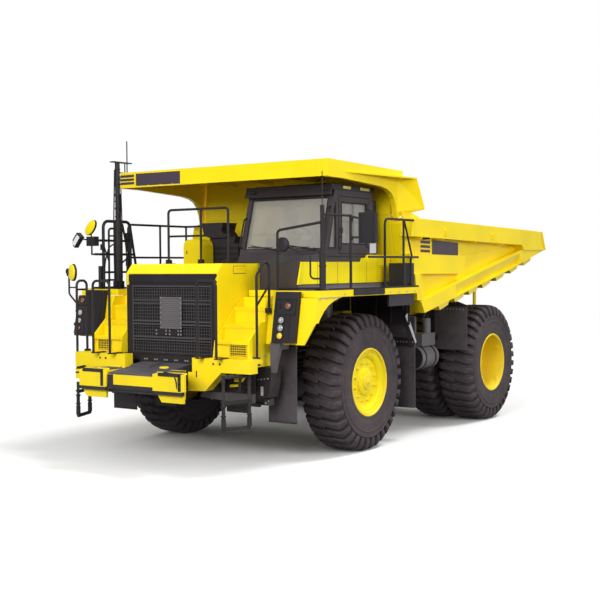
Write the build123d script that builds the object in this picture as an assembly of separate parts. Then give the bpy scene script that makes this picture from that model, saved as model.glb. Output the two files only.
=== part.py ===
from build123d import *
import os
from math import sin, cos, radians, atan2, hypot, degrees

os.makedirs("parts", exist_ok=True)

# ---------------------------------------------------------------- frame
# Rigid mining dump truck. Millimetres. Front faces -Y, left side is +X, up is +Z.
# Shapes are drawn with Y measured back from the front axle; Y_MID moves them so
# that the origin is on the ground, below the middle of the whole truck.
Y_MID = 1718.0

# ---------------------------------------------------------------- driving sizes
TYRE_R = 1080.0            # tyre outer radius
TREAD_HALF = 300.0         # half of the tread width
BEAD_R = 545.0             # tyre bore
FRONT_X = 1750.0           # front wheel centre plane
REAR_OUT_X = 1900.0        # outer rear wheel centre plane
REAR_IN_X = 1150.0         # inner rear wheel centre plane
WHEELBASE = 4300.0
KING_X = 1250.0            # kingpin axis
ARM_L = 300.0              # steering arm length
SPINDLE_R = 90.0
REAR_SPINDLE_R = 120.0
RUN = 0.05                 # running clearance of shafts

RAIL_IN, RAIL_OUT = 420.0, 650.0
HOOD_HALF = 893.0
HOOD_FRONT = -2345.0
HOOD_TOP = 2957.0
HOOD_REAR = -1060.0

DECK_X = 2350.0
DECK_Z0, DECK_Z1 = 2460.0, 2560.0
DECK_FRONT, DECK_REAR = -1860.0, 1125.0

BODY_X = 2300.0
HINGE_Y, HINGE_Z = 5550.0, 1900.0
HOIST_X = 250.0
HOIST_F = (2400.0, 1000.0)     # barrel pin (y, z)
HOIST_E = (3900.0, 2300.0)     # rod eye (y, z)

TOW_Y, TOW_Z, TOW_R = -3120.0, 1090.0, 35.0     # front tow pin bores, along X
HITCH_Y, HITCH_Z, HITCH_R = 5790.0, 1600.0, 32.0  # rear hitch pin bore, along Z

CAB_X0, CAB_X1 = 200.0, 1820.0
CAB_WALL = 60.0

# ---------------------------------------------------------------- helpers
def bx(x0, x1, y0, y1, z0, z1):
    return Pos((x0 + x1) / 2, (y0 + y1) / 2, (z0 + z1) / 2) * Box(abs(x1 - x0), abs(y1 - y0), abs(z1 - z0))

def cx(x0, x1, y, z, r):
    return Pos((x0 + x1) / 2, y, z) * Rot(0, 90, 0) * Cylinder(r, abs(x1 - x0))

def cy(y0, y1, x, z, r):
    return Pos(x, (y0 + y1) / 2, z) * Rot(90, 0, 0) * Cylinder(r, abs(y1 - y0))

def cz(z0, z1, x, y, r):
    return Pos(x, y, (z0 + z1) / 2) * Cylinder(r, abs(z1 - z0))

def rod(p, q, r):
    p, q = Vector(*p), Vector(*q)
    d = q - p
    return Plane(origin=(p + q) * 0.5, z_dir=d) * Cylinder(r, d.length)

def prism(pts, vec):
    return Solid.extrude(Face(Wire.make_polygon([Vector(*p) for p in pts], close=True)), Vector(*vec))

def px(yz, x0, x1):
    return prism([(x0, y, z) for y, z in yz], (x1 - x0, 0, 0))

def py(xz, y0, y1):
    return prism([(x, y0, z) for x, z in xz], (0, y1 - y0, 0))

def pz(xy, z0, z1):
    return prism([(x, y, z0) for x, y in xy], (0, 0, z1 - z0))

def fuse(*s):
    s = [t for a in s for t in (a if isinstance(a, (list, tuple)) else [a])]
    r = s[0]
    return r.fuse(*s[1:]) if len(s) > 1 else r

def cut(a, *b):
    return a.cut(*b)

def mir(s):
    return mirror(s, about=Plane.YZ)

def pair(s):
    return [s, mir(s)]

def tube(pts, r, bend=90.0):
    """Round tube along straight runs with bent corners."""
    path = FilletPolyline(*pts, radius=bend)
    return sweep(Plane(origin=path @ 0, z_dir=path % 0) * Circle(r), path=path)

def solids(s):
    if isinstance(s, (list, tuple)):
        return [t for a in s for t in solids(a)]
    return list(s.solids())

def out(name, *s):
    ss = [t.moved(Location((0, -Y_MID, 0))) for t in solids(list(s))]
    export_step(Compound(ss) if len(ss) > 1 else ss[0], f"parts/{name}.step")

def turned(profile, x, y, z, side=1):
    """Revolve a closed outline of (w, r) rows about the wheel axis; w is outward."""
    f = Face(Wire.make_polygon([Vector(w * side, 0, r) for w, r in profile], close=True))
    return Pos(x * side, y, z) * revolve(f, Axis.X, 360)

# ---------------------------------------------------------------- tyres and rims
def tyre(x, y, side):
    w, t = 287.0, TREAD_HALF
    e = [
        Line((-w, 0, BEAD_R), (w, 0, BEAD_R)),
        Line((w, 0, BEAD_R), (w, 0, 590)),
        ThreePointArc((w, 0, 590), (326, 0, 815), (t, 0, 1015)),
        Line((t, 0, 1015), (255, 0, TYRE_R)),
        Line((255, 0, TYRE_R), (-255, 0, TYRE_R)),
        Line((-255, 0, TYRE_R), (-t, 0, 1015)),
        ThreePointArc((-t, 0, 1015), (-326, 0, 815), (-w, 0, 590)),
        Line((-w, 0, 590), (-w, 0, BEAD_R)),
    ]
    f = Face(Wire(e))
    return Pos(x * side, y, TYRE_R) * revolve(f, Axis.X, 360)

# rim outlines, rows of (w outward from the wheel's centre plane, r)
FRONT_RIM = [(-304, 500), (-304, 575), (-289, 575), (-289, BEAD_R - 2), (289, BEAD_R - 2), (289, 575), (304, 575), (304, 512),
             (285, 497), (262, 420), (238, 392), (205, 384), (205, 215), (236, 200), (250, 150), (250, 0),
             (120, 0), (120, SPINDLE_R + RUN), (-120, SPINDLE_R + RUN), (-120, 230), (120, 250), (150, 330), (160, 400), (200, 470), (150, 500)]
REAR_OUT_RIM = [(-304, 500), (-304, 575), (-289, 575), (-289, BEAD_R - 2), (289, BEAD_R - 2), (289, 575), (304, 575), (304, 512),
                (285, 500), (180, 488), (-120, 470), (-190, 420), (-200, 330), (-160, 300), (-130, 0),
                (-330, 0), (-330, 300), (-330, 470)]
REAR_IN_RIM = [(-304, 500), (-304, 575), (-289, 575), (-289, BEAD_R - 2), (289, BEAD_R - 2), (289, 575), (304, 575), (304, 500),
               (420, 470), (420, 0), (250, 0), (250, REAR_SPINDLE_R + RUN), (-300, REAR_SPINDLE_R + RUN), (-300, 260), (120, 260), (150, 480), (120, 500)]

for name, s in (("left", 1), ("right", -1)):
    out(f"front_tyre_{name}", tyre(FRONT_X, 0, s))
    out(f"front_rim_{name}", turned(FRONT_RIM, FRONT_X, 0, TYRE_R, s))
    out(f"rear_tyres_{name}", tyre(REAR_OUT_X, WHEELBASE, s), tyre(REAR_IN_X, WHEELBASE, s))
    out(f"rear_rim_{name}", fuse(turned(REAR_OUT_RIM, REAR_OUT_X, WHEELBASE, TYRE_R, s),
                                 turned(REAR_IN_RIM, REAR_IN_X, WHEELBASE, TYRE_R, s)))

# ---------------------------------------------------------------- knuckles and tie rod
def knuckle(s):
    k = KING_X
    body = cz(800, 1350, k, 0, 125)
    web = bx(k, k + 250, -120, 120, 900, 1260)
    flange = cx(k + 230, k + 275, 0, TYRE_R, 215)
    spindle = cx(k + 250, FRONT_X + 100, 0, TYRE_R, SPINDLE_R)
    arm = bx(k - 60, k + 60, 0, ARM_L, 850, 940)
    arm_end = cz(850, 940, k, ARM_L, 75)
    r = fuse(body, web, flange, spindle, arm, arm_end)
    return r if s > 0 else mir(r)

out("knuckle_left", knuckle(1))
out("knuckle_right", knuckle(-1))

ROD_Z = 990.0
out("tie_rod", fuse(cx(-KING_X, KING_X, ARM_L, ROD_Z, 34),
                    cz(946, 1034, KING_X, ARM_L, 70), cz(946, 1034, -KING_X, ARM_L, 70)))

# ---------------------------------------------------------------- front suspension
def front_susp():
    k = KING_X
    arm = fuse(pz([(RAIL_OUT + 10, -230), (k, -90), (k, 90), (RAIL_OUT + 10, 230)], 640, 730),
               cz(640, 793, k, 0, 105))
    arm = cut(arm, pz([(RAIL_OUT + 90, -120), (k - 200, -45), (k - 200, 45), (RAIL_OUT + 90, 120)], 600, 800))
    hanger = bx(RAIL_OUT - 160, RAIL_OUT + 12, -235, 235, 640, 1102)
    strut = fuse(cz(1356, 1850, k, 0, 70), cz(1700, 2330, k, 0, 112))
    tower = fuse(px([(-230, 1502), (230, 1502), (160, 2420), (-160, 2420)], RAIL_IN, RAIL_IN + 90),
                 bx(RAIL_IN, k + 130, -160, 160, 2330, 2420))
    brace = px([(-60, 1900), (60, 1900), (60, 2332), (-60, 2332)], RAIL_IN + 60, RAIL_IN + 380)
    return [fuse(arm, hanger), fuse(strut, tower, brace)]

fs = front_susp()
barrel = fuse(cx(-330, 330, ARM_L, ROD_Z, 85), bx(-200, -120, ARM_L - 60, ARM_L + 60, ROD_Z + 40, 1222),
              bx(120, 200, ARM_L - 60, ARM_L + 60, ROD_Z + 40, 1222))
barrel = cut(barrel, cx(-400, 400, ARM_L, ROD_Z, 34 + RUN))
out("front_suspension", fs[0], mir(fs[0]), fs[1], mir(fs[1]), barrel)

# ---------------------------------------------------------------- chassis frame
# rail side outline, rows of (y, z)
RAIL = [(-2600, 1120), (2700, 1104), (3150, 1450), (5700, 1450), (5700, 1800), (2950, 1800), (2500, 1500), (-2150, 1500),
        (-2300, 1365), (-2600, 1365)]
rail = px(RAIL, RAIL_IN, RAIL_OUT)
out("frame_rails", pair(rail))
frame_bits = []
# cross members between the rails, rows of (y0, y1, z0, z1)
CROSS = [(-2600, -2350, 1150, 1350), (230, 370, 1225, 1400), (1500, 1700, 1230, 1470), (2120, 2195, 1250, 1470),
         (4920, 5080, 1480, 1760)]
for y0, y1, z0, z1 in CROSS:
    frame_bits.append(bx(-RAIL_IN, RAIL_IN, y0, y1, z0, z1))
# hinge ears on the rails and the pin through them
ears = [px([(5350, 1800), (5700, 1800), (5680, 2010), (5420, 2010)], s * 470, s * 600) for s in (1, -1)]
frame_bits.append(fuse(*ears, cx(-700, 700, HINGE_Y, HINGE_Z, 60)))
# hoist barrel brackets hanging inside the rails
for s in (1, -1):
    brk = [px([(2310, 900), (2490, 900), (2500, 1060), (2350, 1240), (2200, 1240)], s * a, s * b)
           for a, b in ((HOIST_X - 130, HOIST_X - 90), (HOIST_X + 90, RAIL_IN))]
    frame_bits.append(fuse(*brk, cx(s * (HOIST_X - 125), s * (HOIST_X + 125), HOIST_F[0], HOIST_F[1], 45),
                           bx(s * (HOIST_X - 130), s * RAIL_IN, 2205, 2330, 1200, 1240)))
tail = fuse(bx(-RAIL_IN, RAIL_IN, 5600, 5690, 1470, 1730), bx(-90, 90, 5680, HITCH_Y, HITCH_Z - 30, HITCH_Z + 30),
            cz(HITCH_Z - 30, HITCH_Z + 30, 0, HITCH_Y, 90))
frame_bits.append(cut(tail, cz(HITCH_Z - 60, HITCH_Z + 60, 0, HITCH_Y, HITCH_R)))
out("frame_cross_members", *frame_bits)

# ---------------------------------------------------------------- rear axle
def rear_axle():
    y, z = WHEELBASE, TYRE_R
    h = fuse(cx(-790, 790, y, z, 190), cy(y - 230, y + 230, 0, z, 320), cx(-790, -560, y, z, 245), cx(560, 790, y, z, 245),
             cx(-1395, -780, y, z, REAR_SPINDLE_R), cx(780, 1395, y, z, REAR_SPINDLE_R),
             cy(y - 700, y - 200, 0, z + 20, 130))
    for s in (1, -1):
        h = fuse(h, rod((s * 540, y, z + 150), (s * 540, y, 1448), 60))
        h = fuse(h, bx(s * 560, s * 700, y - 1100, y, z - 260, z - 160), bx(s * 560, s * 700, y - 1180, y - 1080, z - 260, z + 330))
    return h

out("rear_axle", rear_axle())

# ---------------------------------------------------------------- engine
out("engine_block", bx(-400, 400, -1950, -350, 1240, 2350), cy(-340, 3590, 0, 1150, 60))

# ---------------------------------------------------------------- hood and grille
hood_o = px([(HOOD_FRONT, 1600), (HOOD_FRONT, 2820), (-2221, HOOD_TOP), (HOOD_REAR, HOOD_TOP), (HOOD_REAR, 1510), (-1350, 1510)], -HOOD_HALF, HOOD_HALF)
hood_i = px([(HOOD_FRONT - 50, 1400), (HOOD_FRONT - 50, 2680), (HOOD_FRONT + 50, 2790), (-2200, 2900), (HOOD_REAR + 50, 2900), (HOOD_REAR + 50, 1400)], -HOOD_HALF + 45, HOOD_HALF - 45)
hood = cut(hood_o, hood_i)
out("engine_hood", hood)
gr = bx(-835, 835, HOOD_FRONT + 2, HOOD_FRONT + 60, 1510, 2676)
grille = cut(gr, bx(-780, 780, HOOD_FRONT - 10, HOOD_FRONT + 45, 1600, 2640))
out("radiator_grille", grille, bx(-700, 700, HOOD_FRONT + 70, HOOD_FRONT + 200, 1560, 2640))

# ---------------------------------------------------------------- front bumper
def flank(s):
    # the outer side of each bumper box runs inward to the rear
    return pz([(s * 1000, -3222), (s * 1000, -2880), (s * 722, -2880)], 1100, 1450)

def bumper():
    b = [bx(-460, 460, -3240, -3120, 1214, 1362),
         px([(-3130, 1150), (-3130, 1362), (-2602, 1362), (-2602, 1150)], -478, 478),
         # the right wing's deep outer plate
         py([(-1706, 1180), (-1706, 1600), (-1000, 1600), (-1000, 1400), (-1060, 1180)], -2650, -2625)]
    for s in (1, -1):
        box = px([(-3280, 1174), (-3280, 1405), (-3200, 1415), (-2900, 1415), (-2900, 1174)], s * 456, s * 983)
        b.append(cut(box, flank(s)))
        # thin towing plate under the box, and the bored bracket behind it
        x0 = 500 if s > 0 else -962
        b.append(py([(x0, 1180), (x0, 1112), (x0 + 68, 1012), (x0 + 462, 1010), (x0 + 468, 1180)], -3220, -3176))
        b.append(px([(-3180, 1030), (-3180, 1180), (-3040, 1180), (-3040, 1060), (-3070, 1030)], s * 700, s * 860))
        b.append(py([(s * 655, 1120), (s * 897, 1132), (s * 964, 1200), (s * 1185, 1406), (s * 1702, 1408), (s * 1702, 1600), (s * 655, 1600)], -2650, -2480))
        b.append(bx(s * 470, s * 660, -2650, -2604, 1120, 1390))
        b.append(bx(s * 1060, s * 1702, -2490, -2360, 1540, 1600))
    b = fuse(*b)
    return cut(b, cx(-1100, -400, TOW_Y, TOW_Z, TOW_R), cx(400, 1100, TOW_Y, TOW_Z, TOW_R))

out("front_bumper", bumper())
# sloping step plate behind the beam, and the step plates on the boxes
step = px([(-3240, 1363), (-3240, 1381), (-2420, 1478), (-2350, 1478), (-2350, 1460), (-2420, 1460)], -452, 452)
step = fuse(step, *[px([(-3180, 1371), (-2360, 1462), (-2360, 1366), (-3180, 1366)], a, a + 12) for a in (-452, 440)])
out("bumper_deck", step, cut(bx(470, 960, -3190, -2905, 1416, 1432), flank(1)), cut(bx(-960, -470, -3190, -2905, 1416, 1432), flank(-1)))

# ---------------------------------------------------------------- stairs
# treads, rows of (front edge y, top z)
TREADS = [(-2440, 1841), (-2230, 2067), (-1975, 2307)]
def stairs():
    s = [bx(900, 1500, y, y + 240, z - 45, z) for y, z in TREADS]
    s.append(px([(-2440, 1470), (-2440, 1850), (-2166, 2100), (-2053, 2110), (-2030, 2322), (-1971, 2456), (-1620, 2456), (-1620, 2300), (-1900, 1470)], 1500, 1530))
    s.append(px([(-2478, 1602), (-2440, 1841), (-1975, 2307), (-1700, 2456), (-1640, 2456), (-2300, 1602)], 900, 915))
    s.append(bx(900, 1500, -2395, -2380, 1602, 1810))
    # risers below the upper treads
    s.append(bx(900, 1500, -2215, -2203, 1830, 2030))
    s.append(bx(900, 1500, -1960, -1948, 2060, 2270))
    s.append(bx(900, 1500, -1735, -1723, 2300, 2456))
    return cut(fuse(*s), bx(0, 1710, -2700, -2358, 1400, 1601))
st = stairs()
out("access_stairs", st, mir(st))

# ---------------------------------------------------------------- hanging ladders
def ladder(top):
    a, b = (1410, -2890), (1561, -2493)
    s = [cz(640, top, a[0], a[1], 22), cz(640, top, b[0], b[1], 22)]
    for z in (640, 1010, 1370):
        if z < top:
            s.append(rod((a[0], a[1], z), (b[0], b[1], z), 24))
    # arm back to the wing's lower edge
    s.append(cy(-2890, -2600, a[0], top - 20, 20))
    s.append(cz(top - 20, top + 6, a[0], -2620, 18) if top > 1200 else bx(a[0] - 20, a[0] + 20, -2649, -2626, top - 20, top + 14))
    return fuse(*s)
out("hanging_ladders", ladder(1400), mir(ladder(1165)))

# ---------------------------------------------------------------- decks, fenders, lamps
def deck():
    left = fuse(bx(915, DECK_X, -1620, DECK_REAR, DECK_Z0, DECK_Z1), bx(1535, DECK_X, DECK_FRONT, -1600, DECK_Z0, DECK_Z1))
    return left
dk = deck()
out("deck_platform", dk, mir(dk), bx(-910, 910, -1050, 900, DECK_Z0, DECK_Z1))

def fender():
    # sloping front sheet beside the lamp pod, and its inner part behind the pod
    f = prism([(2085, -2055, 1795), (2085, -1935, 2456), (2085, -1905, 2456), (2085, -2025, 1795)], (DECK_X - 2085, 0, 0))
    f = cut(f, py([(2150, 1700), (DECK_X + 50, 1700), (DECK_X + 50, 2185)], -2200, -1600))
    inner = px([(-2055, 1795), (-1935, 2456), (-1905, 2456), (-2025, 1795)], 1535, 2090)
    # side sheet with the round arch above the tyre, rows of (y, z)
    side = px([(-1912, 2456), (-1990, 2100), (-1905, 2100), (-1860, 2160), (-1760, 2262), (-1640, 2345), (-1500, 2404), (-1300, 2456)], DECK_X - 30, DECK_X)
    return [fuse(f, inner, side)]
fd = fender()
out("front_fenders", fd, [mir(t) for t in fd])

def pod():
    return px([(-2139, 1824), (-2010, 2544), (-1925, 2544), (-2054, 1824)], 1690, 2080)
pd = pod()
out("headlight_pods", pd, mir(pd))

fl = bx(1317, 1817, -1690, -1670, 605, 1790)
fl2 = bx(1300, 2110, 1395, 1415, 520, 2050)
guard = cut(fuse(bx(1440, 2280, 3040, 3060, 1390, 2165), bx(1440, 1460, 2960, 3050, 1390, 2165)), bx(600, 1721, 2999, 3030, 1559, 1641))
out("mud_flaps", pair(fl), pair(fl2), pair(guard))
# brackets that carry the flaps and the rear guards
stay = fuse(rod((2040, 1080, 2330), (2040, 1350, 1670), 22), bx(2010, 2070, 1330, 1394, 1560, 1700), bx(1300, 2110, 1375, 1394, 1560, 1700),
            bx(1500, 1560, 1050, 1394, 1960, 2020), bx(1500, 1560, 1050, 1110, 1960, 2459))
gb = fuse(py([(1700, 2168), (2290, 2168), (2290, 2195), (1915, 2325), (1700, 2225)], 3030, 3050), bx(655, 1720, 3000, 3029, 1560, 1640),
          bx(1600, 1660, 3000, 3029, 1560, 2180))
fs_ = fuse(bx(1317, 1817, -1669, -1655, 1700, 1800), bx(1540, 1600, -1669, -1620, 1700, 2459))
out("flap_brackets", pair(stay), pair(gb), pair(fs_))

# ---------------------------------------------------------------- tanks
# left: hydraulic tank between the wheels with a filter block, right: fuel tank
hyd = fuse(cy(2330, 2950, 1560, 1270, 215), bx(1300, 1560, 2330, 2950, 1060, 1480), bx(1290, 1720, 2400, 2900, 1480, 1700),
           cz(1690, 2000, 1440, 2520, 90), cz(1690, 1960, 1620, 2760, 75))
out("side_tanks", hyd, bx(-1500, -720, 1650, 2900, 950, 1700),
    bx(655, 1310, 2450, 2600, 1330, 1420), bx(-720, -655, 1800, 2700, 1200, 1400))

# ---------------------------------------------------------------- cab
CAB_SIDE = [(-970, 2562), (-900, 3120), (-620, 4080), (520, 4080), (550, 2562)]
CAB_IN = [(-905, 2650), (-835, 3115), (-570, 4020), (455, 4020), (485, 2650)]
cab = cut(px(CAB_SIDE, CAB_X0, CAB_X1), px(CAB_IN, CAB_X0 + CAB_WALL, CAB_X1 - CAB_WALL))
# window and door openings
WINDSHIELD = py([(290, 3180), (1730, 3180), (1730, 3960), (290, 3960)], -1000, -500)
cab = cut(cab, WINDSHIELD, bx(350, 1670, 400, 700, 3180, 3920))
RIGHT_WIN = px([(-720, 3180), (-520, 3920), (380, 3920), (400, 3180)], CAB_X0 - 10, CAB_X0 + CAB_WALL + 10)
DOOR_HOLE = px([(-520, 3095), (-520, 3990), (400, 3990), (400, 3095)], CAB_X1 - CAB_WALL - 10, CAB_X1 + 10)
QUARTER = px([(-800, 3180), (-640, 3780), (-600, 3900), (-600, 3180)], CAB_X1 - CAB_WALL - 10, CAB_X1 + 10)
cab = cut(cab, RIGHT_WIN, DOOR_HOLE, QUARTER)
out("cab_shell", cab)
out("cab_roof", fuse(bx(CAB_X0 - 10, CAB_X1 + 10, -700, 540, 4081, 4165), px([(-700, 4165), (-760, 4000), (-700, 4000)], CAB_X0, CAB_X1)))
door = cut(px([(-512, 3103), (-512, 3982), (392, 3982), (392, 3103)], CAB_X1 - CAB_WALL, CAB_X1),
           px([(-440, 3250), (-440, 3900), (320, 3900), (320, 3250)], CAB_X1 - 100, CAB_X1 + 20))
DOOR_Y = 400.0
door = fuse(door, cz(3200, 3300, CAB_X1 + 30, DOOR_Y - 5, 20), bx(CAB_X1 - 5, CAB_X1 + 30, DOOR_Y - 90, DOOR_Y - 5, 3210, 3290),
            cz(3800, 3900, CAB_X1 + 30, DOOR_Y - 5, 20), bx(CAB_X1 - 5, CAB_X1 + 30, DOOR_Y - 90, DOOR_Y - 5, 3810, 3890))
out("cab_door", door)
ws_y = lambda z: -900 + (z - 3120) * (280 / 960) + 30
g1 = prism([(292, ws_y(3182), 3182), (1728, ws_y(3182), 3182), (1728, ws_y(3958), 3958), (292, ws_y(3958), 3958)], (0, 12, 0))
g2 = bx(352, 1668, 515, 525, 3182, 3918)
g3 = px([(-714, 3184), (-514, 3916), (376, 3916), (396, 3184)], CAB_X0 + 25, CAB_X0 + 35)
out("cab_glass", g1, g2, g3)
# cowl in front of the cab: a plinth beside the hood and a sloping top up to the windshield
plinth = pz([(905, -1330), (CAB_X1, -1640), (CAB_X1, -800), (905, -800)], 2562, 2968)
plinth = cut(plinth, prism([(800, -1440, 2562), (2000, -1844, 2562), (2000, -1704, 2990), (800, -1300, 2990)], (0, -600, 0)),
             prism([(905, -1335, 2562), (905, -1335, 2980), (905, -1225, 2980)], (-300, 0, 0)))
lo = Wire.make_polygon([Vector(205, -980, 2968), Vector(900, -1215, 2968), Vector(CAB_X1, -1530, 2968), Vector(CAB_X1, -800, 2968), Vector(205, -800, 2968)], close=True)
hi = Wire.make_polygon([Vector(205, -868, 3160), Vector(900, -868, 3160), Vector(CAB_X1, -868, 3160), Vector(CAB_X1, -800, 3160), Vector(205, -800, 3160)], close=True)
cowl = Solid.make_loft([lo, hi], ruled=True)
cab_env = px([(-971, 2500), (-971, 2562), (-901, 3120), (-860, 3260), (0, 3260), (0, 2500)], 0, CAB_X1 + 50)
out("cab_cowl", cut(fuse(plinth, cowl), cab_env))
# yellow side panel under the cab, outline rows of (y, z)
BASE = [(-1680, 2640), (-1585, 2972), (90, 2972), (130, 3030), (260, 3040), (300, 3085), (985, 3085), (1020, 2972), (1090, 2690), (1090, 2640)]
out("cab_base", fuse(px(BASE, CAB_X1 + 8, 1860), px([(-1640, 2562), (-1640, 2640), (1060, 2640), (1060, 2562)], CAB_X1 + 8, 1846),
                     px([(560, 2562), (560, 3080), (960, 3080), (1000, 2900), (1040, 2640), (1040, 2562)], CAB_X1 - 500, CAB_X1 + 9)))

seat = fuse(bx(800, 1300, -150, 350, 2651, 3000), bx(800, 1300, -180, 330, 3000, 3130), bx(810, 1290, 250, 400, 3130, 3800))
out("operator_seat", seat)
wheel = Pos(1050, -430, 3420) * Rot(-35, 0, 0) * Torus(205, 18)
col = rod((1050, -430, 3420), (1050, -780, 2800), 35)
spoke = fuse(Pos(1050, -430, 3420) * Rot(-35, 0, 0) * Box(400, 30, 20), col, bx(450, 1600, -820, -640, 2900, 3120))
out("dash_and_steering_wheel", fuse(wheel, spoke))

# ---------------------------------------------------------------- deck fittings
# yellow cover behind the hood, box at the rear of the left walkway, box on the right deck
cover = bx(-1240, -830, -575, -290, 2561, 3370)
cover = fillet([e for e in cover.edges().filter_by(Axis.Y) if e.center().Z > 3300], 120)
out("deck_boxes", cover, bx(DECK_X - 330, DECK_X - 50, 690, 1025, 2561, 2950), bx(-2250, -1500, 500, 1050, 2561, 2900),
    bx(DECK_X - 90, DECK_X - 50, 200, 1020, 2270, 2459))
# black air intake elbow beside the cab, and the air cleaner drum on the right deck
duct = fuse(bx(-970, -330, -240, 160, 2561, 3300), px([(-240, 3290), (160, 3290), (160, 3420), (-180, 3420)], -970, -430),
            py([(-1120, 3655), (-1075, 3440), (-960, 3400), (-600, 3400), (-700, 3520), (-655, 3655)], -230, 150))
out("air_cleaners", duct, cy(-500, 400, -1650, 2750, 185), bx(-1700, -1600, -300, 200, 2561, 2580))

# handrails
RR = 19.5
POLE_X, POLE_Y = 2300.0, -1715.0
XL = DECK_X - 20
def stand(x, y, z1, z0=None):
    return cz(DECK_Z1 + 1 if z0 is None else z0, z1, x, y, RR - 1)

def rails_left():
    top = tube([(XL, 20, DECK_Z1 + 1), (XL, 20, 3640), (XL, 950, 3640)], RR)
    return fuse(top, stand(XL, 620, 3640), cy(-470, 1105, XL, 3045, RR - 2), rod((XL, 650, 3620), (XL, 905, 3045), RR - 4),
                stand(XL, 860, 3045))

def rails_right():
    X = -XL
    return fuse(tube([(X, -760, DECK_Z1 + 1), (X, -760, 3650), (X, 790, 3650), (-1350, 790, 3650), (-1350, 790, DECK_Z1 + 1)], RR),
                stand(X, 70, 3650), stand(X, 790, 3640), cy(-760, 790, X, 3080, RR - 2), cx(X, -1350, 790, 3080, RR - 2))

def hood_rail():
    z = HOOD_TOP + 1
    return fuse(tube([(-870, -1380, z), (-870, -1380, 3822), (345, -1380, 3822), (345, -1380, z)], RR, 60),
                cz(z, 3822, -200, -1380, RR - 1), cx(-870, 345, -1380, 3400, RR - 3),
                *[bx(x - 45, x + 45, -1405, -1355, z, z + 70) for x in (-870, -200, 345)])

def inner_hoop():
    z = 1602
    t = tube([(1196, -2768, z), (1196, -2768, 2706), (852, -2768, 2706), (852, -2768, z)], RR, 80)
    return fuse(t, *[bx(x - 30, x + 30, -2790, -2520, 1601, 1616) for x in (852, 1196)])

def outer_rail():
    x = 1585
    t = tube([(x, -2334, 1560), (x, -2334, 2780), (x, -2030, 3100), (x, -2030, 2290)], RR, 90)
    return fuse(t, bx(1531, x + 25, -2358, -2290, 1500, 1620), bx(1531, x + 20, -2060, -2000, 2240, 2310), rod((x, -2334, 2350), (x, -2030, 2640), RR - 4))

def far_hoop():
    x = -1680
    t = tube([(x, -2630, 1601), (x, -2630, 2706), (x, -2415, 2706), (x, -2415, 1601)], RR, 80)
    return fuse(t, cy(-2630, -2415, x, 2568, RR - 4), cy(-2630, -2415, x, 2328, RR - 4),
                rod((x, -2630, 2600), (-1830, -2640, 2600), 11),
                tube([(x, -2630, 2350), (-1835, -2640, 2500), (-1835, -2640, 2774)], RR - 5, 60), bx(-1702, -1640, -2460, -2375, 1601, 1630))

def front_frame():
    y = -1835
    t = tube([(1600, y, DECK_Z1 + 1), (1600, y, 3430), (POLE_X, POLE_Y, 3535)], RR, 60)
    return fuse(t, tube([(2170, y, 3050), (2170, y, 2730), (POLE_X, POLE_Y, 2730)], RR - 6, 60), rod((1715, y, 3225), (2030, y, 3080), RR - 8),
                rod((2010, y, 3082), (POLE_X, POLE_Y, 3110), RR - 6), rod((1600, y, 2590), (POLE_X, POLE_Y, 2590), RR - 4))

out("handrails", rails_left(), rails_right(), hood_rail(), inner_hoop(), mir(inner_hoop()), outer_rail(), far_hoop())

# mirrors and the posts that carry them
near_post = fuse(cz(DECK_Z1 + 1, 3140, POLE_X, POLE_Y, 48), cz(3140, 3775, POLE_X, POLE_Y, 32),
                 cz(3775, 4260, POLE_X, POLE_Y, 7), front_frame())
arms = fuse(rod((POLE_X, POLE_Y, 3645), (2305, -955, 3652), 18), cz(DECK_Z1 + 1, 3668, 2305, -955, 21),
            rod((2305, -955, 3640), (2480, -880, 3600), 16), rod((2305, -955, 3330), (2480, -880, 3330), 16))
big = fuse(bx(2420, 2700, -900, -835, 3250, 3690), bx(2590, 2698, -885, -845, 3088, 3251))
round_m = cy(-1875, -1850, 1715, 3222, 105)
m1 = fuse(near_post, arms, big, fuse(round_m, cy(-1855, -1835, 1715, 3222, 30)))
# right side cluster: square lamp, control box, oval and round mirrors on the tower's outriggers
arm_f = fuse(rod((-2242, -1526, 3360), (-2300, -1640, 3360), 18), rod((-2240, -1522, 3130), (-2330, -1640, 3130), 14), cz(3120, 3300, -2330, -1640, 14),
             rod((-2325, -1655, 3400), (-2325, -1655, 3560), 12), rod((-2390, -1650, 3370), (-2640, -1650, 3400), 12))
box_f = bx(-2395, -2205, -1700, -1600, 3268, 3425)
oval = Pos(-2325, -1640, 3572) * Rot(0, 42, 0) * Rot(90, 0, 0) * extrude(Ellipse(84, 152), 30)
lamp = Pos(-2630, -1670, 3370) * Rot(0, 40, 0) * Box(120, 90, 230)
lamp = cut(lamp, bx(-3000, -2700, -2000, -1000, 3000, 4000))
tip = bx(-2700, -2660, -1690, -1650, 3350, 3390)
round_f = fuse(Pos(-1700, -2680, 2834) * Rot(0, 0, -24) * Rot(90, 0, 0) * Cylinder(133, 28), cy(-2702, -2630, -1796, 2850, 50))
m2 = fuse(arm_f, box_f, oval, lamp, tip)
m3 = fuse(round_f, cy(-2670, -2618, -1835, 2800, 24), rod((-1835, -2644, 2800), (-1796, -2650, 2840), 14))
out("mirrors", m1, m2, m3)

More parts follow.
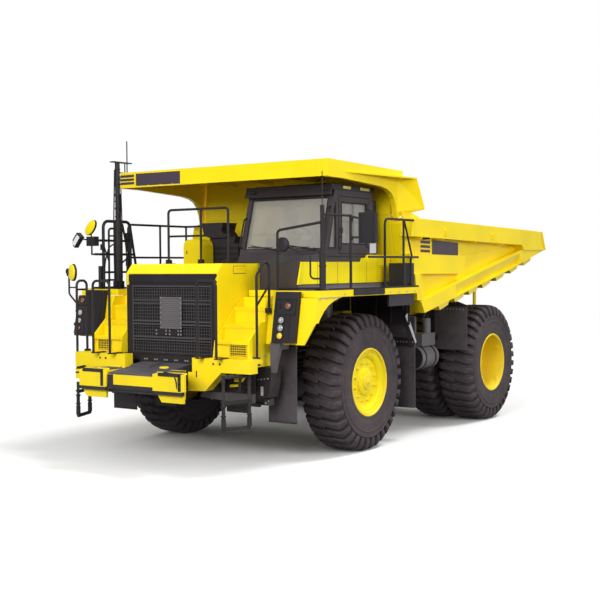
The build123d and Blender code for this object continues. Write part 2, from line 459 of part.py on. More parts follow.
# mast tower at the right front corner: a column with a tubular cage
def cage():
    X = -2200
    return fuse(cz(DECK_Z1 + 1, 3680, X + 60, -1210, 70), cz(3670, 4690, X + 60, -1210, 42), tube([(X, -1500, DECK_Z1 + 1), (X, -1500, 3685), (X, -850, 3685), (X, -850, DECK_Z1 + 1)], 26, 110),
                tube([(X, -1370, DECK_Z1 + 1), (X, -1370, 3565), (X, -1100, 3565), (X, -1100, DECK_Z1 + 1)], 18, 60),
                cy(-1590, -850, X, 3360, 20), cy(-1700, -762, X, 3130, 20), cy(-1500, -850, X, 2830, 18),
                rod((X, -850, 3600), (X, -645, 2592), 22), rod((X, -1040, 3650), (X, -880, 3085), 16), rod((X, -1500, 3300), (X, -1370, 3000), 12),
                cz(DECK_Z1 + 1, 2935, X - 20, -1556, 34), rod((X, -1100, 2960), (X, -860, 3110), 14), rod((X, -1370, 3440), (X + 20, -1210, 3440), 14),
                cy(-1500, -1140, X + 30, 2700, 16), bx(X + 10, X + 110, -1290, -1120, DECK_Z1 + 1, DECK_Z1 + 120),
                bx(X, X + 100, -1330, -890, 4672, 4690), bx(X - 10, X + 50, -1000, -900, 4500, 4520), cz(4500, 4672, X + 20, -985, 10),
                cz(4510, 5060, X + 20, -930, 10), bx(X, X + 60, -1200, -900, 4505, 4518), cz(4110, 4150, X + 60, -1210, 60), cz(3600, 4150, X + 40, -1120, 8), bx(X + 28, X + 52, -1200, -1110, 4120, 4140))
out("mast_tower", cage())

# ---------------------------------------------------------------- dump body
# side wall outline, rows of (y, z)
SIDE = [(1437, 2120), (4915, 2805), (6716, 3214), (6498, 3580), (997, 3682), (900, 3600), (1094, 2803), (1198, 2341), (1303, 2331)]
RAIL_TOP = lambda y: 2575 + (y - 2560) * 0.21          # upper edge of the bottom rail
RAIL_LOW = lambda y: 2120 + (y - 1437) * (685 / 3478)  # its lower edge
side = px(SIDE, 1940, 2120)
lower = px([(1437, 2120), (4915, 2805), (6716, 3214), (6620, 3400), (6400, RAIL_TOP(6400)), (1310, RAIL_TOP(1310))], 2100, BODY_X - 20)
# inclined face of the bottom rail, between the two end plates
lower = cut(lower, prism([(BODY_X - 19, 2600, RAIL_TOP(2600) - 12), (BODY_X - 19, 2600, RAIL_LOW(2600) + 25), (BODY_X - 85, 2600, RAIL_LOW(2600) + 25)], (0, 2850, 2850 * 0.2)))
side = fuse(side, lower,
            px([(926, 3388), (5509, 3301), (5610, 3204), (6716, 3214), (6498, 3580), (997, 3682)], 2100, BODY_X),
            px([(1094, 2803), (1110, 2770), (2973, 2762), (3098, 3074), (1000, 3100)], 2100, BODY_X - 60),
            px([(1110, 2770), (1198, 2341), (1303, 2331), (1420, 2345), (1330, 2770)], 2100, BODY_X - 30))
out("body_sides", pair(side))

def floor_z(y):
    return 2120 + (y - 1437) * (685 / 3478) if y < 4915 else 2805 + (y - 4915) * (409 / 1801)
floor = px([(1437, 2120), (4915, 2805), (6716, 3214), (6700, 3290), (6100, 3180), (1331, 2231)], -1938, 1938)
out("body_floor", floor)

string = px([(1500, 1860), (5420, 1860), (5780, 2120), (6000, 2800), (6000, floor_z(6000)), (4915, 2805), (1500, floor_z(1500))], 430, 640)
string = cut(string, cx(400, 700, HINGE_Y, HINGE_Z, 300))
lug = fuse(px([(5450, 2300), (5455, 1900), (5645, 1900), (5650, 2300)], 606, 640), cx(606, 640, HINGE_Y, HINGE_Z, 95))
lug = cut(lug, cx(600, 700, HINGE_Y, HINGE_Z, 60 + RUN))
frame_b = [string, mir(string), lug, mir(lug)]
under = px([(1000, 1500), (1437, 2120), (4915, 2805), (6716, 3214), (7200, 3400), (7000, 4000), (1000, 4000)], -2500, 2500)
# hoist lugs and the rock ejector bars between the twin tyres
for s in (1, -1):
    for a, b in ((HOIST_X - 110, HOIST_X - 76), (HOIST_X + 76, HOIST_X + 110)):
        frame_b.append(px([(HOIST_E[0] - 90, 2230), (HOIST_E[0] + 90, 2230), (HOIST_E[0] + 140, floor_z(HOIST_E[0] + 140)), (HOIST_E[0] - 140, floor_z(HOIST_E[0] - 140))], s * a, s * b))
frame_b = cut(fuse(*frame_b), under)
eject = bx(1503, 1547, 4940, 5010, 1850, floor_z(4940) - 4)
out("body_frame", frame_b, pair(eject))
# cross ribs under the floor between and outside the stringers, rows of front y
RIBS = [2080, 2680, 3260, 3830, 4450, 5110, 5790]
ribs = []
for y in RIBS:
    row = [(y, floor_z(y)), (y + 470, floor_z(y + 470)), (y + 400, floor_z(y + 400) - 105), (y + 90, floor_z(y + 90) - 125)]
    for a, b in ((642, 2190), (-2190, -642), (-428, 428)):
        ribs.append(px(row, a, b))
hoist_room = [bx(s * (HOIST_X - 112), s * (HOIST_X + 112), HOIST_E[0] - 200, HOIST_E[0] + 200, 2000, 3000) for s in (1, -1)]
out("body_ribs", [cut(r, under, *hoist_room) for r in ribs])

wall = px([(1331, 2235), (1094, 2803), (900, 3600), (870, 3748), (960, 3748), (1000, 3600), (1194, 2803), (1420, 2253)], -1938, 1938)
out("body_front_wall", wall)

canopy = fuse(
    px([(-1207, 4240), (-1207, 4497), (-1150, 4497), (1070, 4459), (1070, 4400), (-1150, 4437), (-1160, 4240)], -2074, 2074),
    px([(1070, 4459), (1070, 4400), (960, 3752), (870, 3752), (930, 4400)], -1938, 1938))
gus = px([(-1180, 4230), (-1180, 4480), (1060, 4440), (1060, 3800), (900, 3640), (877, 3700), (840, 3860), (780, 3990), (690, 4080), (560, 4135), (327, 4173), (-783, 4229)], 1990, 2074)
# spill guard at the side of the canopy: a top plate that widens to the rear and a raked panel below it
wing = fuse(pz([(2070, -770), (2300, 1120), (2300, 1145), (2070, 1070)], 4322, 4346),
            prism([(2070, 870, 4322), (2300, 1120, 4322), (2300, 1385, 3858)], (0, 25, 0)),
            prism([(2070, 870, 4322), (2300, 1385, 3858), (2070, 870, 3790)], (0, 25, 0)),
            prism([(2070, 870, 3790), (2300, 1385, 3858), (2070, 1200, 3790)], (0, 25, -20)),
            px([(930, 3800), (1000, 3684), (1500, 3675), (1560, 3720), (1200, 3800)], 2085, 2120))
out("body_canopy", fuse(canopy, gus, mir(gus), wing, mir(wing)))

# ---------------------------------------------------------------- hoist cylinders
fy, fz = HOIST_F
ey, ez = HOIST_E
L = hypot(ey - fy, ez - fz)
uy, uz = (ey - fy) / L, (ez - fz) / L
def at(x, t):
    return (x, fy + uy * t, fz + uz * t)
for name, s in (("left", 1), ("right", -1)):
    x = s * HOIST_X
    b = fuse(cx(x - 75, x + 75, fy, fz, 85), rod(at(x, 60), at(x, 1640), 80))
    b = cut(b, cx(x - 200, x + 200, fy, fz, 45 + RUN), rod(at(x, 140), at(x, 1700), 55 + RUN))
    r = fuse(rod(at(x, 160), at(x, L - 40), 55), cx(x - 68, x + 68, ey, ez, 80))
    out(f"hoist_barrel_{name}", b)
    out(f"hoist_rod_{name}", r)
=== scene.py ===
import bpy
import math
import random
from mathutils import Matrix, Vector


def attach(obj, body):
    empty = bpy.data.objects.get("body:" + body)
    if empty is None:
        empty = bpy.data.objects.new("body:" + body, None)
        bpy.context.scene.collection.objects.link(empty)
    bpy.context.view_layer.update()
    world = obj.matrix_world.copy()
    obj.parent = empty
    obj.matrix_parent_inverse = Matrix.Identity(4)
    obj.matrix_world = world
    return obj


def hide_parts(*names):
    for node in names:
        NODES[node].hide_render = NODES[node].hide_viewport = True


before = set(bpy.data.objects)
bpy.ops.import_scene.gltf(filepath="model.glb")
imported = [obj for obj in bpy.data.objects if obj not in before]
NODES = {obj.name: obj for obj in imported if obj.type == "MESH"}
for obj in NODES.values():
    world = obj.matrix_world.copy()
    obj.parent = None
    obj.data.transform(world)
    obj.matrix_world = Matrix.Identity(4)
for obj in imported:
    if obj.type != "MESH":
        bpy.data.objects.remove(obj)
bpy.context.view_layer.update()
YM = 1.718                      # the row frame's y is the design y less this
random.seed(11)
pi, sin, cos, rad = math.pi, math.sin, math.cos, math.radians

# ------------------------------------------------------------------ mesh kit
class Kit:
    """Collects closed shapes, in design metres, and builds them as one mesh piece."""

    def __init__(s):
        s.v, s.f = [], []

    def add(s, verts, faces):
        o = len(s.v)
        s.v += [tuple(p) for p in verts]
        s.f += [tuple(i + o for i in f) for f in faces]
        return s

    def box(s, x0, x1, y0, y1, z0, z1, c=0.004, m=None):
        hx, hy, hz = abs(x1 - x0) / 2, abs(y1 - y0) / 2, abs(z1 - z0) / 2
        c = min(c, hx * .45, hy * .45, hz * .45)
        ce = Vector(((x0 + x1) / 2, (y0 + y1) / 2, (z0 + z1) / 2))
        V, idx = [], {}
        for sx in (-1, 1):
            for sy in (-1, 1):
                for sz in (-1, 1):
                    for k, p in enumerate(((hx, hy - c, hz - c), (hx - c, hy, hz - c), (hx - c, hy - c, hz))):
                        idx[sx, sy, sz, k] = len(V)
                        V.append(Vector((sx * p[0], sy * p[1], sz * p[2])))
        F = []
        for sg in (-1, 1):
            F.append([idx[sg, a, b, 0] for a, b in ((-1, -1), (1, -1), (1, 1), (-1, 1))])
            F.append([idx[a, sg, b, 1] for a, b in ((-1, -1), (1, -1), (1, 1), (-1, 1))])
            F.append([idx[a, b, sg, 2] for a, b in ((-1, -1), (1, -1), (1, 1), (-1, 1))])
            for t in (-1, 1):
                F.append([idx[-1, sg, t, 1], idx[1, sg, t, 1], idx[1, sg, t, 2], idx[-1, sg, t, 2]])
                F.append([idx[sg, -1, t, 0], idx[sg, 1, t, 0], idx[sg, 1, t, 2], idx[sg, -1, t, 2]])
                F.append([idx[sg, t, -1, 0], idx[sg, t, 1, 0], idx[sg, t, 1, 1], idx[sg, t, -1, 1]])
        for a in (-1, 1):
            for b in (-1, 1):
                for d in (-1, 1):
                    F.append([idx[a, b, d, 0], idx[a, b, d, 1], idx[a, b, d, 2]])
        if m is None:
            return s.add([ce + p for p in V], F)
        return s.add([m @ (ce + p) for p in V], F)

    def ring(s, c, u, w, r, n, t0=0.0):
        return [c + u * (r * cos(t0 + 2 * pi * i / n)) + w * (r * sin(t0 + 2 * pi * i / n)) for i in range(n)]

    def basis(s, d):
        d = Vector(d).normalized()
        a = Vector((0, 0, 1)) if abs(d.z) < .9 else Vector((1, 0, 0))
        u = d.cross(a).normalized()
        return u, d.cross(u).normalized()

    def loft(s, rings, cap=True, closed=False):
        n, o = len(rings[0]), len(s.v)
        for r in rings:
            s.v += [tuple(p) for p in r]
        k = len(rings)
        for j in range(k if closed else k - 1):
            a, b = o + j * n, o + ((j + 1) % k) * n
            for i in range(n):
                s.f.append((a + i, a + (i + 1) % n, b + (i + 1) % n, b + i))
        if cap and not closed:
            s.f.append(tuple(o + i for i in range(n))[::-1])
            s.f.append(tuple(o + (k - 1) * n + i for i in range(n)))
        return s

    def turn(s, prof, c, d, n=48):
        """Revolve rows of (along d, r), open outline closed by its end caps."""
        u, w = s.basis(d)
        d, c = Vector(d).normalized(), Vector(c)
        return s.loft([s.ring(c + d * a, u, w, max(r, 1e-4), n) for a, r in prof])

    def turn_closed(s, prof, c, d, n=96):
        """Revolve a closed outline of (along d, r) rows."""
        u, w = s.basis(d)
        d, c = Vector(d).normalized(), Vector(c)
        return s.loft([s.ring(c + d * a, u, w, r, n) for a, r in prof], closed=True)

    def cyl(s, p, q, r, n=20, c=0.0):
        p, q = Vector(p), Vector(q)
        L = (q - p).length
        c = min(c, r * .4, L * .4)
        if c <= 0:
            return s.turn([(0, r), (L, r)], p, q - p, n)
        return s.turn([(0, r - c), (c, r), (L - c, r), (L, r - c)], p, q - p, n)

    def bolt(s, p, d, r=.014, h=.011):
        p, d = Vector(p), Vector(d).normalized()
        s.turn([(0, r * 1.45), (h * .25, r * 1.45)], p, d, 12)
        return s.turn([(h * .2, r), (h * .85, r), (h, r * .8)], p, d, 6)

    def prism(s, pts, vec):
        n, vec = len(pts), Vector(vec)
        a = [Vector(p) for p in pts]
        return s.add(a + [p + vec for p in a], [tuple(range(n))[::-1], tuple(range(n, 2 * n))] + [(i, (i + 1) % n, n + (i + 1) % n, n + i) for i in range(n)])

    def px(s, yz, x0, x1):
        return s.prism([(x0, y, z) for y, z in yz], (x1 - x0, 0, 0))

    def py(s, xz, y0, y1):
        return s.prism([(x, y0, z) for x, z in xz], (0, y1 - y0, 0))

    def pz(s, xy, z0, z1):
        return s.prism([(x, y, z0) for x, y in xy], (0, 0, z1 - z0))

    def tube(s, pts, r, bend=.05, n=12, k=5):
        P = [Vector(p) for p in pts]
        path = [P[0]]
        for i in range(1, len(P) - 1):
            a, b = (P[i - 1] - P[i]), (P[i + 1] - P[i])
            t = min(bend, a.length * .48, b.length * .48)
            p, q = P[i] + a.normalized() * t, P[i] + b.normalized() * t
            for j in range(k + 1):
                f = j / k
                path.append(p * (1 - f) ** 2 + P[i] * 2 * f * (1 - f) + q * f ** 2)
        path.append(P[-1])
        d0 = (path[1] - path[0]).normalized()
        u, w = s.basis(d0)
        rings = []
        for i, p in enumerate(path):
            d = ((path[min(i + 1, len(path) - 1)] - p).normalized() + (p - path[max(i - 1, 0)]).normalized())
            d = d.normalized() if d.length > 1e-6 else d0
            u = (u - d * u.dot(d)).normalized()
            w = d.cross(u)
            rings.append(s.ring(p, u, w, r, n))
        return s.loft(rings)

    def mirror(s):
        o, n = len(s.v), len(s.v)
        s.v += [(-x, y, z) for x, y, z in s.v]
        s.f += [tuple(i + o for i in f)[::-1] for f in list(s.f)]
        return s

    def build(s, name, mat, body="chassis", slot=None, angle=32, replaces=()):
        me = bpy.data.meshes.new(name)
        me.from_pydata([(x, y - YM, z) for x, y, z in s.v], [], s.f)
        import bmesh
        bm = bmesh.new()
        bm.from_mesh(me)
        bmesh.ops.recalc_face_normals(bm, faces=bm.faces)
        bm.to_mesh(me)
        bm.free()
        me.shade_smooth()
        me.set_sharp_from_angle(angle=rad(angle))
        o = bpy.data.objects.new(name, me)
        bpy.context.scene.collection.objects.link(o)
        me.materials.append(mat)
        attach(o, body)
        if replaces:
            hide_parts(*replaces)
        return o


# ------------------------------------------------------------------ materials
class N:
    """Short hand for a node tree."""

    def __init__(s, name):
        s.m = bpy.data.materials.new(name)
        s.m.use_nodes = True
        s.t = s.m.node_tree
        s.b = s.t.nodes["Principled BSDF"]
        s.co = s.new("ShaderNodeTexCoord").outputs["Object"]

    def new(s, kind, **kw):
        n = s.t.nodes.new(kind)
        for k, v in kw.items():
            setattr(n, k, v)
        return n

    def link(s, a, b):
        s.t.links.new(a, b)

    def noise(s, scale, detail=4, rough=.5, co=None, stretch=None):
        n = s.new("ShaderNodeTexNoise")
        n.inputs["Scale"].default_value = scale
        n.inputs["Detail"].default_value = detail
        n.inputs["Roughness"].default_value = rough
        src = co or s.co
        if stretch:
            mp = s.new("ShaderNodeMapping")
            mp.inputs["Scale"].default_value = stretch
            s.link(src, mp.inputs["Vector"])
            src = mp.outputs["Vector"]
        s.link(src, n.inputs["Vector"])
        return n.outputs["Fac"]

    def ramp(s, fac, stops):
        r = s.new("ShaderNodeValToRGB")
        e = r.color_ramp.elements
        while len(e) < len(stops):
            e.new(.5)
        for i, (p, c) in enumerate(stops):
            e[i].position = p
            e[i].color = (*c, 1) if len(c) == 3 else c
        s.link(fac, r.inputs["Fac"])
        return r.outputs["Color"]

    def rng(s, fac, a, b, lo, hi):
        r = s.new("ShaderNodeMapRange")
        for k, v in zip(("From Min", "From Max", "To Min", "To Max"), (a, b, lo, hi)):
            r.inputs[k].default_value = v
        s.link(fac, r.inputs["Value"])
        return r.outputs["Result"]

    def math(s, op, a, b=None):
        n = s.new("ShaderNodeMath", operation=op)
        for i, v in enumerate((a, b)):
            if v is None:
                continue
            if isinstance(v, (int, float)):
                n.inputs[i].default_value = v
            else:
                s.link(v, n.inputs[i])
        return n.outputs[0]

    def mix(s, fac, a, b, mode="MIX"):
        n = s.new("ShaderNodeMix", data_type="RGBA", blend_type=mode)
        for sock, v in ((n.inputs[0], fac), (n.inputs[6], a), (n.inputs[7], b)):
            if isinstance(v, (int, float)):
                sock.default_value = v
            elif isinstance(v, tuple):
                sock.default_value = (*v, 1) if len(v) == 3 else v
            else:
                s.link(v, sock)
        return n.outputs[2]

    def z(s):
        x = s.new("ShaderNodeSeparateXYZ")
        s.link(s.co, x.inputs[0])
        return x.outputs

    def bump(s, height, strength=.2, dist=.002):
        n = s.new("ShaderNodeBump")
        n.inputs["Strength"].default_value = strength
        n.inputs["Distance"].default_value = dist
        s.link(height, n.inputs["Height"])
        s.link(n.outputs["Normal"], s.b.inputs["Normal"])
        return n

    def done(s, color=None, rough=None, metal=0.0, spec=.5, coat=0.0, coat_rough=.1):
        if color is not None:
            if isinstance(color, tuple):
                s.b.inputs["Base Color"].default_value = (*color, 1)
            else:
                s.link(color, s.b.inputs["Base Color"])
        if rough is not None:
            if isinstance(rough, (int, float)):
                s.b.inputs["Roughness"].default_value = rough
            else:
                s.link(rough, s.b.inputs["Roughness"])
        s.b.inputs["Metallic"].default_value = metal
        s.b.inputs["Specular IOR Level"].default_value = spec
        s.b.inputs["Coat Weight"].default_value = coat
        s.b.inputs["Coat Roughness"].default_value = coat_rough
        return s.m


def scale(c, k):
    return tuple(min(1, a * k) for a in c)


DUST = (.33, .27, .21)


def paint(name, base, rough=.36, spec=.16, coat=.03, dusty=.10, vary=.07, tint=None):
    """Sprayed steel: slow colour drift, orange peel, faint streaks running down, dust low on the truck."""
    n = N(name)
    slow = n.noise(.9, 3)
    c = n.mix(n.rng(slow, .35, .65, 0, 1), scale(base, 1 - vary), tint or scale(base, 1 + vary * .6))
    streak = n.noise(1.0, 5, .6, stretch=(14, 14, 1.1))
    c = n.mix(n.rng(streak, .55, .8, 0, dusty * .8), c, scale(DUST, .8))
    low = n.math("MULTIPLY", n.rng(n.z()[2], .2, 1.9, 1, 0), n.rng(n.noise(6, 6), .3, .7, .2, 1))
    c = n.mix(n.math("MULTIPLY", low, dusty * 2.2), c, DUST)
    n.bump(n.noise(420, 2), .05, .0006)
    return n.done(c, n.rng(n.noise(5, 6), .3, .7, rough - .06, rough + .1), spec=spec, coat=coat)


def rubber(name, base, rough=.78, dusty=.35):
    n = N(name)
    fine = n.noise(55, 6, .65)
    c = n.mix(n.rng(n.noise(2.2, 4), .35, .65, 0, 1), scale(base, .82), scale(base, 1.18))
    c = n.mix(n.math("MULTIPLY", n.rng(n.noise(9, 8, .7), .45, .75, 0, 1), dusty), c, (.16, .145, .14))
    n.bump(fine, .35, .003)
    return n.done(c, n.rng(fine, .3, .7, rough - .08, rough + .1), spec=.2)


def steel(name, base, rough=.5, metal=.6, grain=60):
    n = N(name)
    a = n.noise(grain, 6, .6)
    c = n.mix(n.rng(n.noise(4, 5), .3, .7, 0, 1), scale(base, .75), scale(base, 1.2))
    c = n.mix(n.rng(n.noise(11, 7, .7), .6, .8, 0, .35), c, (.12, .075, .045))
    n.bump(a, .25, .002)
    return n.done(c, n.rng(a, .3, .7, rough - .1, rough + .12), metal=metal)


def lens(name, base, trans=0.0, rough=.12, emit=0.0, ribs=120.0):
    n = N(name)
    w = n.new("ShaderNodeTexWave", wave_type="BANDS", bands_direction="X")
    w.inputs["Scale"].default_value = ribs
    n.link(n.co, w.inputs["Vector"])
    c = n.mix(n.rng(w.outputs["Fac"], 0, 1, 0, 1), scale(base, .8), scale(base, 1.1))
    n.bump(w.outputs["Fac"], .25, .002)
    n.b.inputs["Transmission Weight"].default_value = trans
    if emit:
        n.b.inputs["Emission Color"].default_value = (*base, 1)
        n.b.inputs["Emission Strength"].default_value = emit
    return n.done(c, rough, coat=.4)


def grip(name, base, rough=.6):
    """Raised-bar tread plate."""
    n = N(name)
    w = n.new("ShaderNodeTexChecker")
    w.inputs["Scale"].default_value = 26
    n.link(n.co, w.inputs["Vector"])
    v = n.new("ShaderNodeTexVoronoi")
    v.inputs["Scale"].default_value = 34
    n.link(n.co, v.inputs["Vector"])
    k = n.rng(v.outputs["Distance"], .12, .4, 1, 0)
    c = n.mix(n.rng(n.noise(3, 6), .35, .7, 0, 1), scale(base, .8), scale(base, 1.25))
    c = n.mix(n.math("MULTIPLY", k, .35), c, scale(base, 1.9))
    n.bump(k, .5, .004)
    return n.done(c, n.rng(n.noise(8, 6), .3, .7, rough - .1, rough + .12), spec=.4)


YELLOW = (.96, .735, .006)
M = {
    "yellow": paint("yellow_paint_sprayed", YELLOW),
    "rim": paint("yellow_rim_paint", (.96, .72, .008), rough=.45, coat=.1, dusty=.16),
    "black": paint("black_paint_satin", (.022, .019, .022), rough=.45, coat=.0, dusty=.06, vary=.2),
    "dark": paint("dark_grey_paint", (.034, .028, .033), rough=.45, coat=.05, dusty=.06, vary=.14),
    "cab": paint("cab_grey_paint", (.058, .049, .056), rough=.42, coat=.02, dusty=.04, vary=.12),
    "grey": paint("mid_grey_paint", (.11, .10, .11), rough=.5, coat=.0, dusty=.12, vary=.12),
    "rail": paint("rail_grey_paint", (.020, .018, .020), rough=.42, coat=.05, dusty=.04, vary=.15),
    "grip": grip("tread_plate_dark", (.075, .066, .075)),
    "tyre": rubber("tyre_rubber", (.056, .045, .049), .74, .25),
    "flap": rubber("flap_rubber", (.068, .058, .063), .7, .25),
    "steel": steel("cast_steel_oily", (.10, .095, .10)),
    "zinc": steel("zinc_bolts", (.40, .39, .37), .42, .6, 200),
    "chrome": steel("hard_chrome", (.78, .78, .80), .14, 1.0, 500),
    "mesh": paint("grille_black", (.018, .016, .018), rough=.55, coat=0, dusty=.08, vary=.2),
    "mesh_l": paint("grille_mesh_grey", (.070, .063, .067), rough=.5, coat=0, dusty=.08, vary=.12),
    "plastic": paint("lamp_housing_plastic", (.026, .022, .026), rough=.55, coat=0, dusty=.05, vary=.15),
    "decal": paint("dark_violet_film", (.060, .042, .062), rough=.35, coat=.2, dusty=.03, vary=.06),
    "clear": lens("clear_lens", (.86, .87, .88), .0, .1),
    "amber": lens("amber_lens", (.95, .36, .02), .0, .18),
    "turn": lens("turn_lens", (.85, .58, .02), .0, .18),
    "marker": lens("marker_lens_dark", (.16, .045, .012), .0, .2),
    "red": lens("red_lens", (.62, .05, .02), .0, .2),
    "seal": rubber("black_seal", (.018, .017, .018), .6, .05),
    "bolt": paint("plated_bolt", (.26, .25, .25), rough=.42, coat=0, dusty=.1, vary=.15),
    "panel": paint("grille_centre_grey", (.135, .125, .132), rough=.5, coat=0, dusty=.08, vary=.12),
    "lamp": lens("lamp_glass_grey", (.50, .50, .49), .0, .1),
    "pale": paint("pale_grey_plastic", (.50, .49, .50), rough=.5, coat=0, dusty=.08, vary=.1),
    "brown": lens("brown_lens", (.30, .10, .02), .0, .2),
    "straw": lens("straw_lens", (.66, .60, .12), .0, .2),
}


def glass(name, tint, alpha=.35, rough=.03):
    n = N(name)
    g = n.noise(2.5, 4)
    c = n.mix(n.rng(g, .3, .7, 0, 1), scale(tint, .9), scale(tint, 1.1))
    n.b.inputs["Alpha"].default_value = alpha
    n.b.inputs["IOR"].default_value = 1.5
    return n.done(c, n.rng(n.noise(30, 5), .3, .7, rough, rough + .03), spec=.6, coat=.5)


M["glass"] = glass("tinted_glass", (.47, .455, .41), .43)
nm = N("mirror_silver")
M["mirror"] = nm.done(nm.mix(nm.rng(nm.noise(3), .3, .7, 0, 1), (.74, .76, .78), (.86, .87, .88)), .06, metal=1.0)
nm = N("seat_cloth")
wv = nm.new("ShaderNodeTexWave", wave_type="BANDS", bands_direction="DIAGONAL")
wv.inputs["Scale"].default_value = 160
wv.inputs["Distortion"].default_value = 1.5
nm.link(nm.co, wv.inputs["Vector"])
nm.bump(wv.outputs["Fac"], .5, .002)
M["cloth"] = nm.done(nm.mix(nm.rng(wv.outputs["Fac"], 0, 1, 0, 1), (.035, .035, .04), (.085, .083, .09)), .9)

ASSIGN = {
    "yellow": "engine_hood front_bumper access_stairs front_fenders cab_base body_floor body_frame body_sides body_front_wall body_canopy",
    "rim": "front_rim_left front_rim_right rear_rim_left rear_rim_right",
    "cab": "cab_shell cab_door cab_cowl",
    "dark": "cab_roof air_cleaners side_tanks",
    "black": "frame_rails frame_cross_members flap_brackets hoist_barrel_left hoist_barrel_right",
    "rail": "handrails mast_tower mirrors",
    "grip": "bumper_deck",
    "steel": "engine_block front_suspension rear_axle knuckle_left knuckle_right tie_rod",
    "chrome": "hoist_rod_left hoist_rod_right",
    "mesh": "radiator_grille",
    "plastic": "headlight_pods dash_and_steering_wheel",
    "flap": "mud_flaps",
    "plastic2": "hanging_ladders",
    "glass": "cab_glass",
    "tyre": "front_tyre_left front_tyre_right rear_tyres_left rear_tyres_right",
    "cloth": "operator_seat",
}


def put(node, m):
    me = NODES[node].data
    me.materials.clear()
    me.materials.append(m)


ASSIGN["black"] += " " + ASSIGN.pop("plastic2")
for k, names in ASSIGN.items():
    for nd in names.split():
        put(nd, M[k])


def masked(name, base_a, base_b, build, **kw):
    """Paint whose colour changes where build(node helper) gives 1."""
    n = N(name)
    f = build(n)
    vary = kw.get("vary", .08)
    s = n.rng(n.noise(.9, 3), .35, .65, 0, 1)
    a = n.mix(s, scale(base_a, 1 - vary), scale(base_a, 1 + vary * .6))
    b = n.mix(s, scale(base_b, 1 - vary * 2), scale(base_b, 1 + vary * 2))
    c = n.mix(f, a, b)
    c = n.mix(n.rng(n.noise(1.0, 5, .6, stretch=(14, 14, 1.1)), .55, .8, 0, .08), c, scale(DUST, .8))
    n.bump(n.noise(420, 2), .05, .0006)
    return n.done(c, n.rng(n.noise(5, 6), .3, .7, .36, .5), spec=.16, coat=.03)


def above(n, axis, v, soft=.002):
    return n.rng(n.z()[axis], v - soft, v + soft, 0, 1)


# rims: dark inner side; hydraulic tank grey, fuel tank dark
for s_, nm_ in ((1, "left"), (-1, "right")):
    put("front_rim_" + nm_, masked("front_rim_paint_" + nm_, (.030, .026, .028), (.96, .72, .008), lambda n: above(n, 0, 1.66) if s_ > 0 else n.math("SUBTRACT", 1.0, above(n, 0, -1.66))))
put("side_tanks", masked("tank_paint", (.034, .028, .033), (.20, .19, .20), lambda n: above(n, 0, 0.0)))
# the deck: yellow edges, dark tread plate on top
put("deck_platform", masked("deck_paint", YELLOW, (.040, .035, .040), lambda n: above(n, 2, 2.5585, .0008)))
put("deck_boxes", masked("deck_boxes_paint", YELLOW, (.030, .026, .030), lambda n: n.math("MAXIMUM", above(n, 0, 1.2), n.math("SUBTRACT", 1.0, above(n, 0, -1.45)))))

put("cab_base", masked("cab_base_paint", (.17, .155, .17), YELLOW, lambda n: above(n, 2, 2.641)))

# ------------------------------------------------------------------ tyres
def tyre(kit, x, y, side, lugs=36):
    """Carcass with sidewall rings, and staggered cross bars that wrap over each shoulder."""
    R = 1.08
    half = [(.0, 1.022), (.10, 1.022), (.19, 1.014), (.240, .990), (.268, .950), (.290, .908), (.3080, .876), (.3180, .866),
            (.3310, .860), (.3310, .842), (.3235, .836), (.3240, .815), (.3230, .785), (.3290, .779), (.3290, .765), (.3215, .758), (.3185, .70), (.3150, .65), (.3150, .640), (.3120, .634),
            (.3115, .590), (.3110, .548), (.3085, .540), (.3052, .541), (.3052, .5775), (.2880, .5785), (.2872, .522)]
    prof = [(-w, r) for w, r in half[::-1]] + half[1:]
    prof = prof + [(.15, .522), (-.15, .522)]
    kit.turn_closed([(w * side, r) for w, r in prof], (x, y, R), (1, 0, 0), 144)
    st = [(-.035, 1.0795, .42, 1.018), (.06, 1.080, .46, 1.018), (.15, 1.079, .51, 1.012), (.225, 1.073, .55, .994), (.268, 1.060, .56, .950), (.296, 1.030, .55, .905),
          (.3230, .978, .53, .890), (.3300, .935, .50, .874), (.3270, .885, .44, .866)]
    pitch = 2 * pi / lugs
    for sg in (-1, 1):
        for i in range(lugs):
            jit = random.uniform(-.012, .012) * pitch
            rings = []
            for w, r, fr, rb in st:
                k = (w + .035) / .33
                th = (i + (.5 if sg > 0 else 0)) * pitch + jit + .55 * pitch * (1 - min(k, 1)) ** 1.3 * sg * .8
                hw = fr * pitch / 2
                ww = sg * w
                if w > .31:
                    o1, o2 = w, w - .02
                    row = [(o2, rb - .01, -hw * 1.05), (o1, rb if rb < r else r, -hw), (o1, r, -hw * .9), (o1, r, hw * .9), (o1, rb if rb < r else r, hw), (o2, rb - .01, hw * 1.05)]
                    row = [(o2 - .022, r - .030, -hw * 1.06), (o1 - .004, r - .003, -hw), (o1, r, -hw * .86), (o1, r, hw * .86), (o1 - .004, r - .003, hw), (o2 - .022, r - .030, hw * 1.06)]
                else:
                    row = [(w - .0, rb, -hw * 1.08), (w, r - .008, -hw), (w, r, -hw * .9), (w, r, hw * .9), (w, r - .008, hw), (w - .0, rb, hw * 1.08)]
                rings.append([Vector((x + sg * a, y + rr * sin(th + d), R + rr * cos(th + d))) for a, rr, d in row])
            kit.loft(rings)
    return kit


for nm_, x in (("left", 1.75), ("right", -1.75)):
    tyre(Kit(), x, 0.0, 1).build("front_tyre_tread_" + nm_, M["tyre"], "front_wheel_" + nm_, "tyre", 40, ("front_tyre_" + nm_,))
    k = Kit()
    sg = 1 if x > 0 else -1
    tyre(k, sg * 1.90, 4.3, 1)
    tyre(k, sg * 1.15, 4.3, 1)
    k.build("rear_tyre_treads_" + nm_, M["tyre"], "rear_wheels_" + nm_, "tyre", 40, ("rear_tyres_" + nm_,))

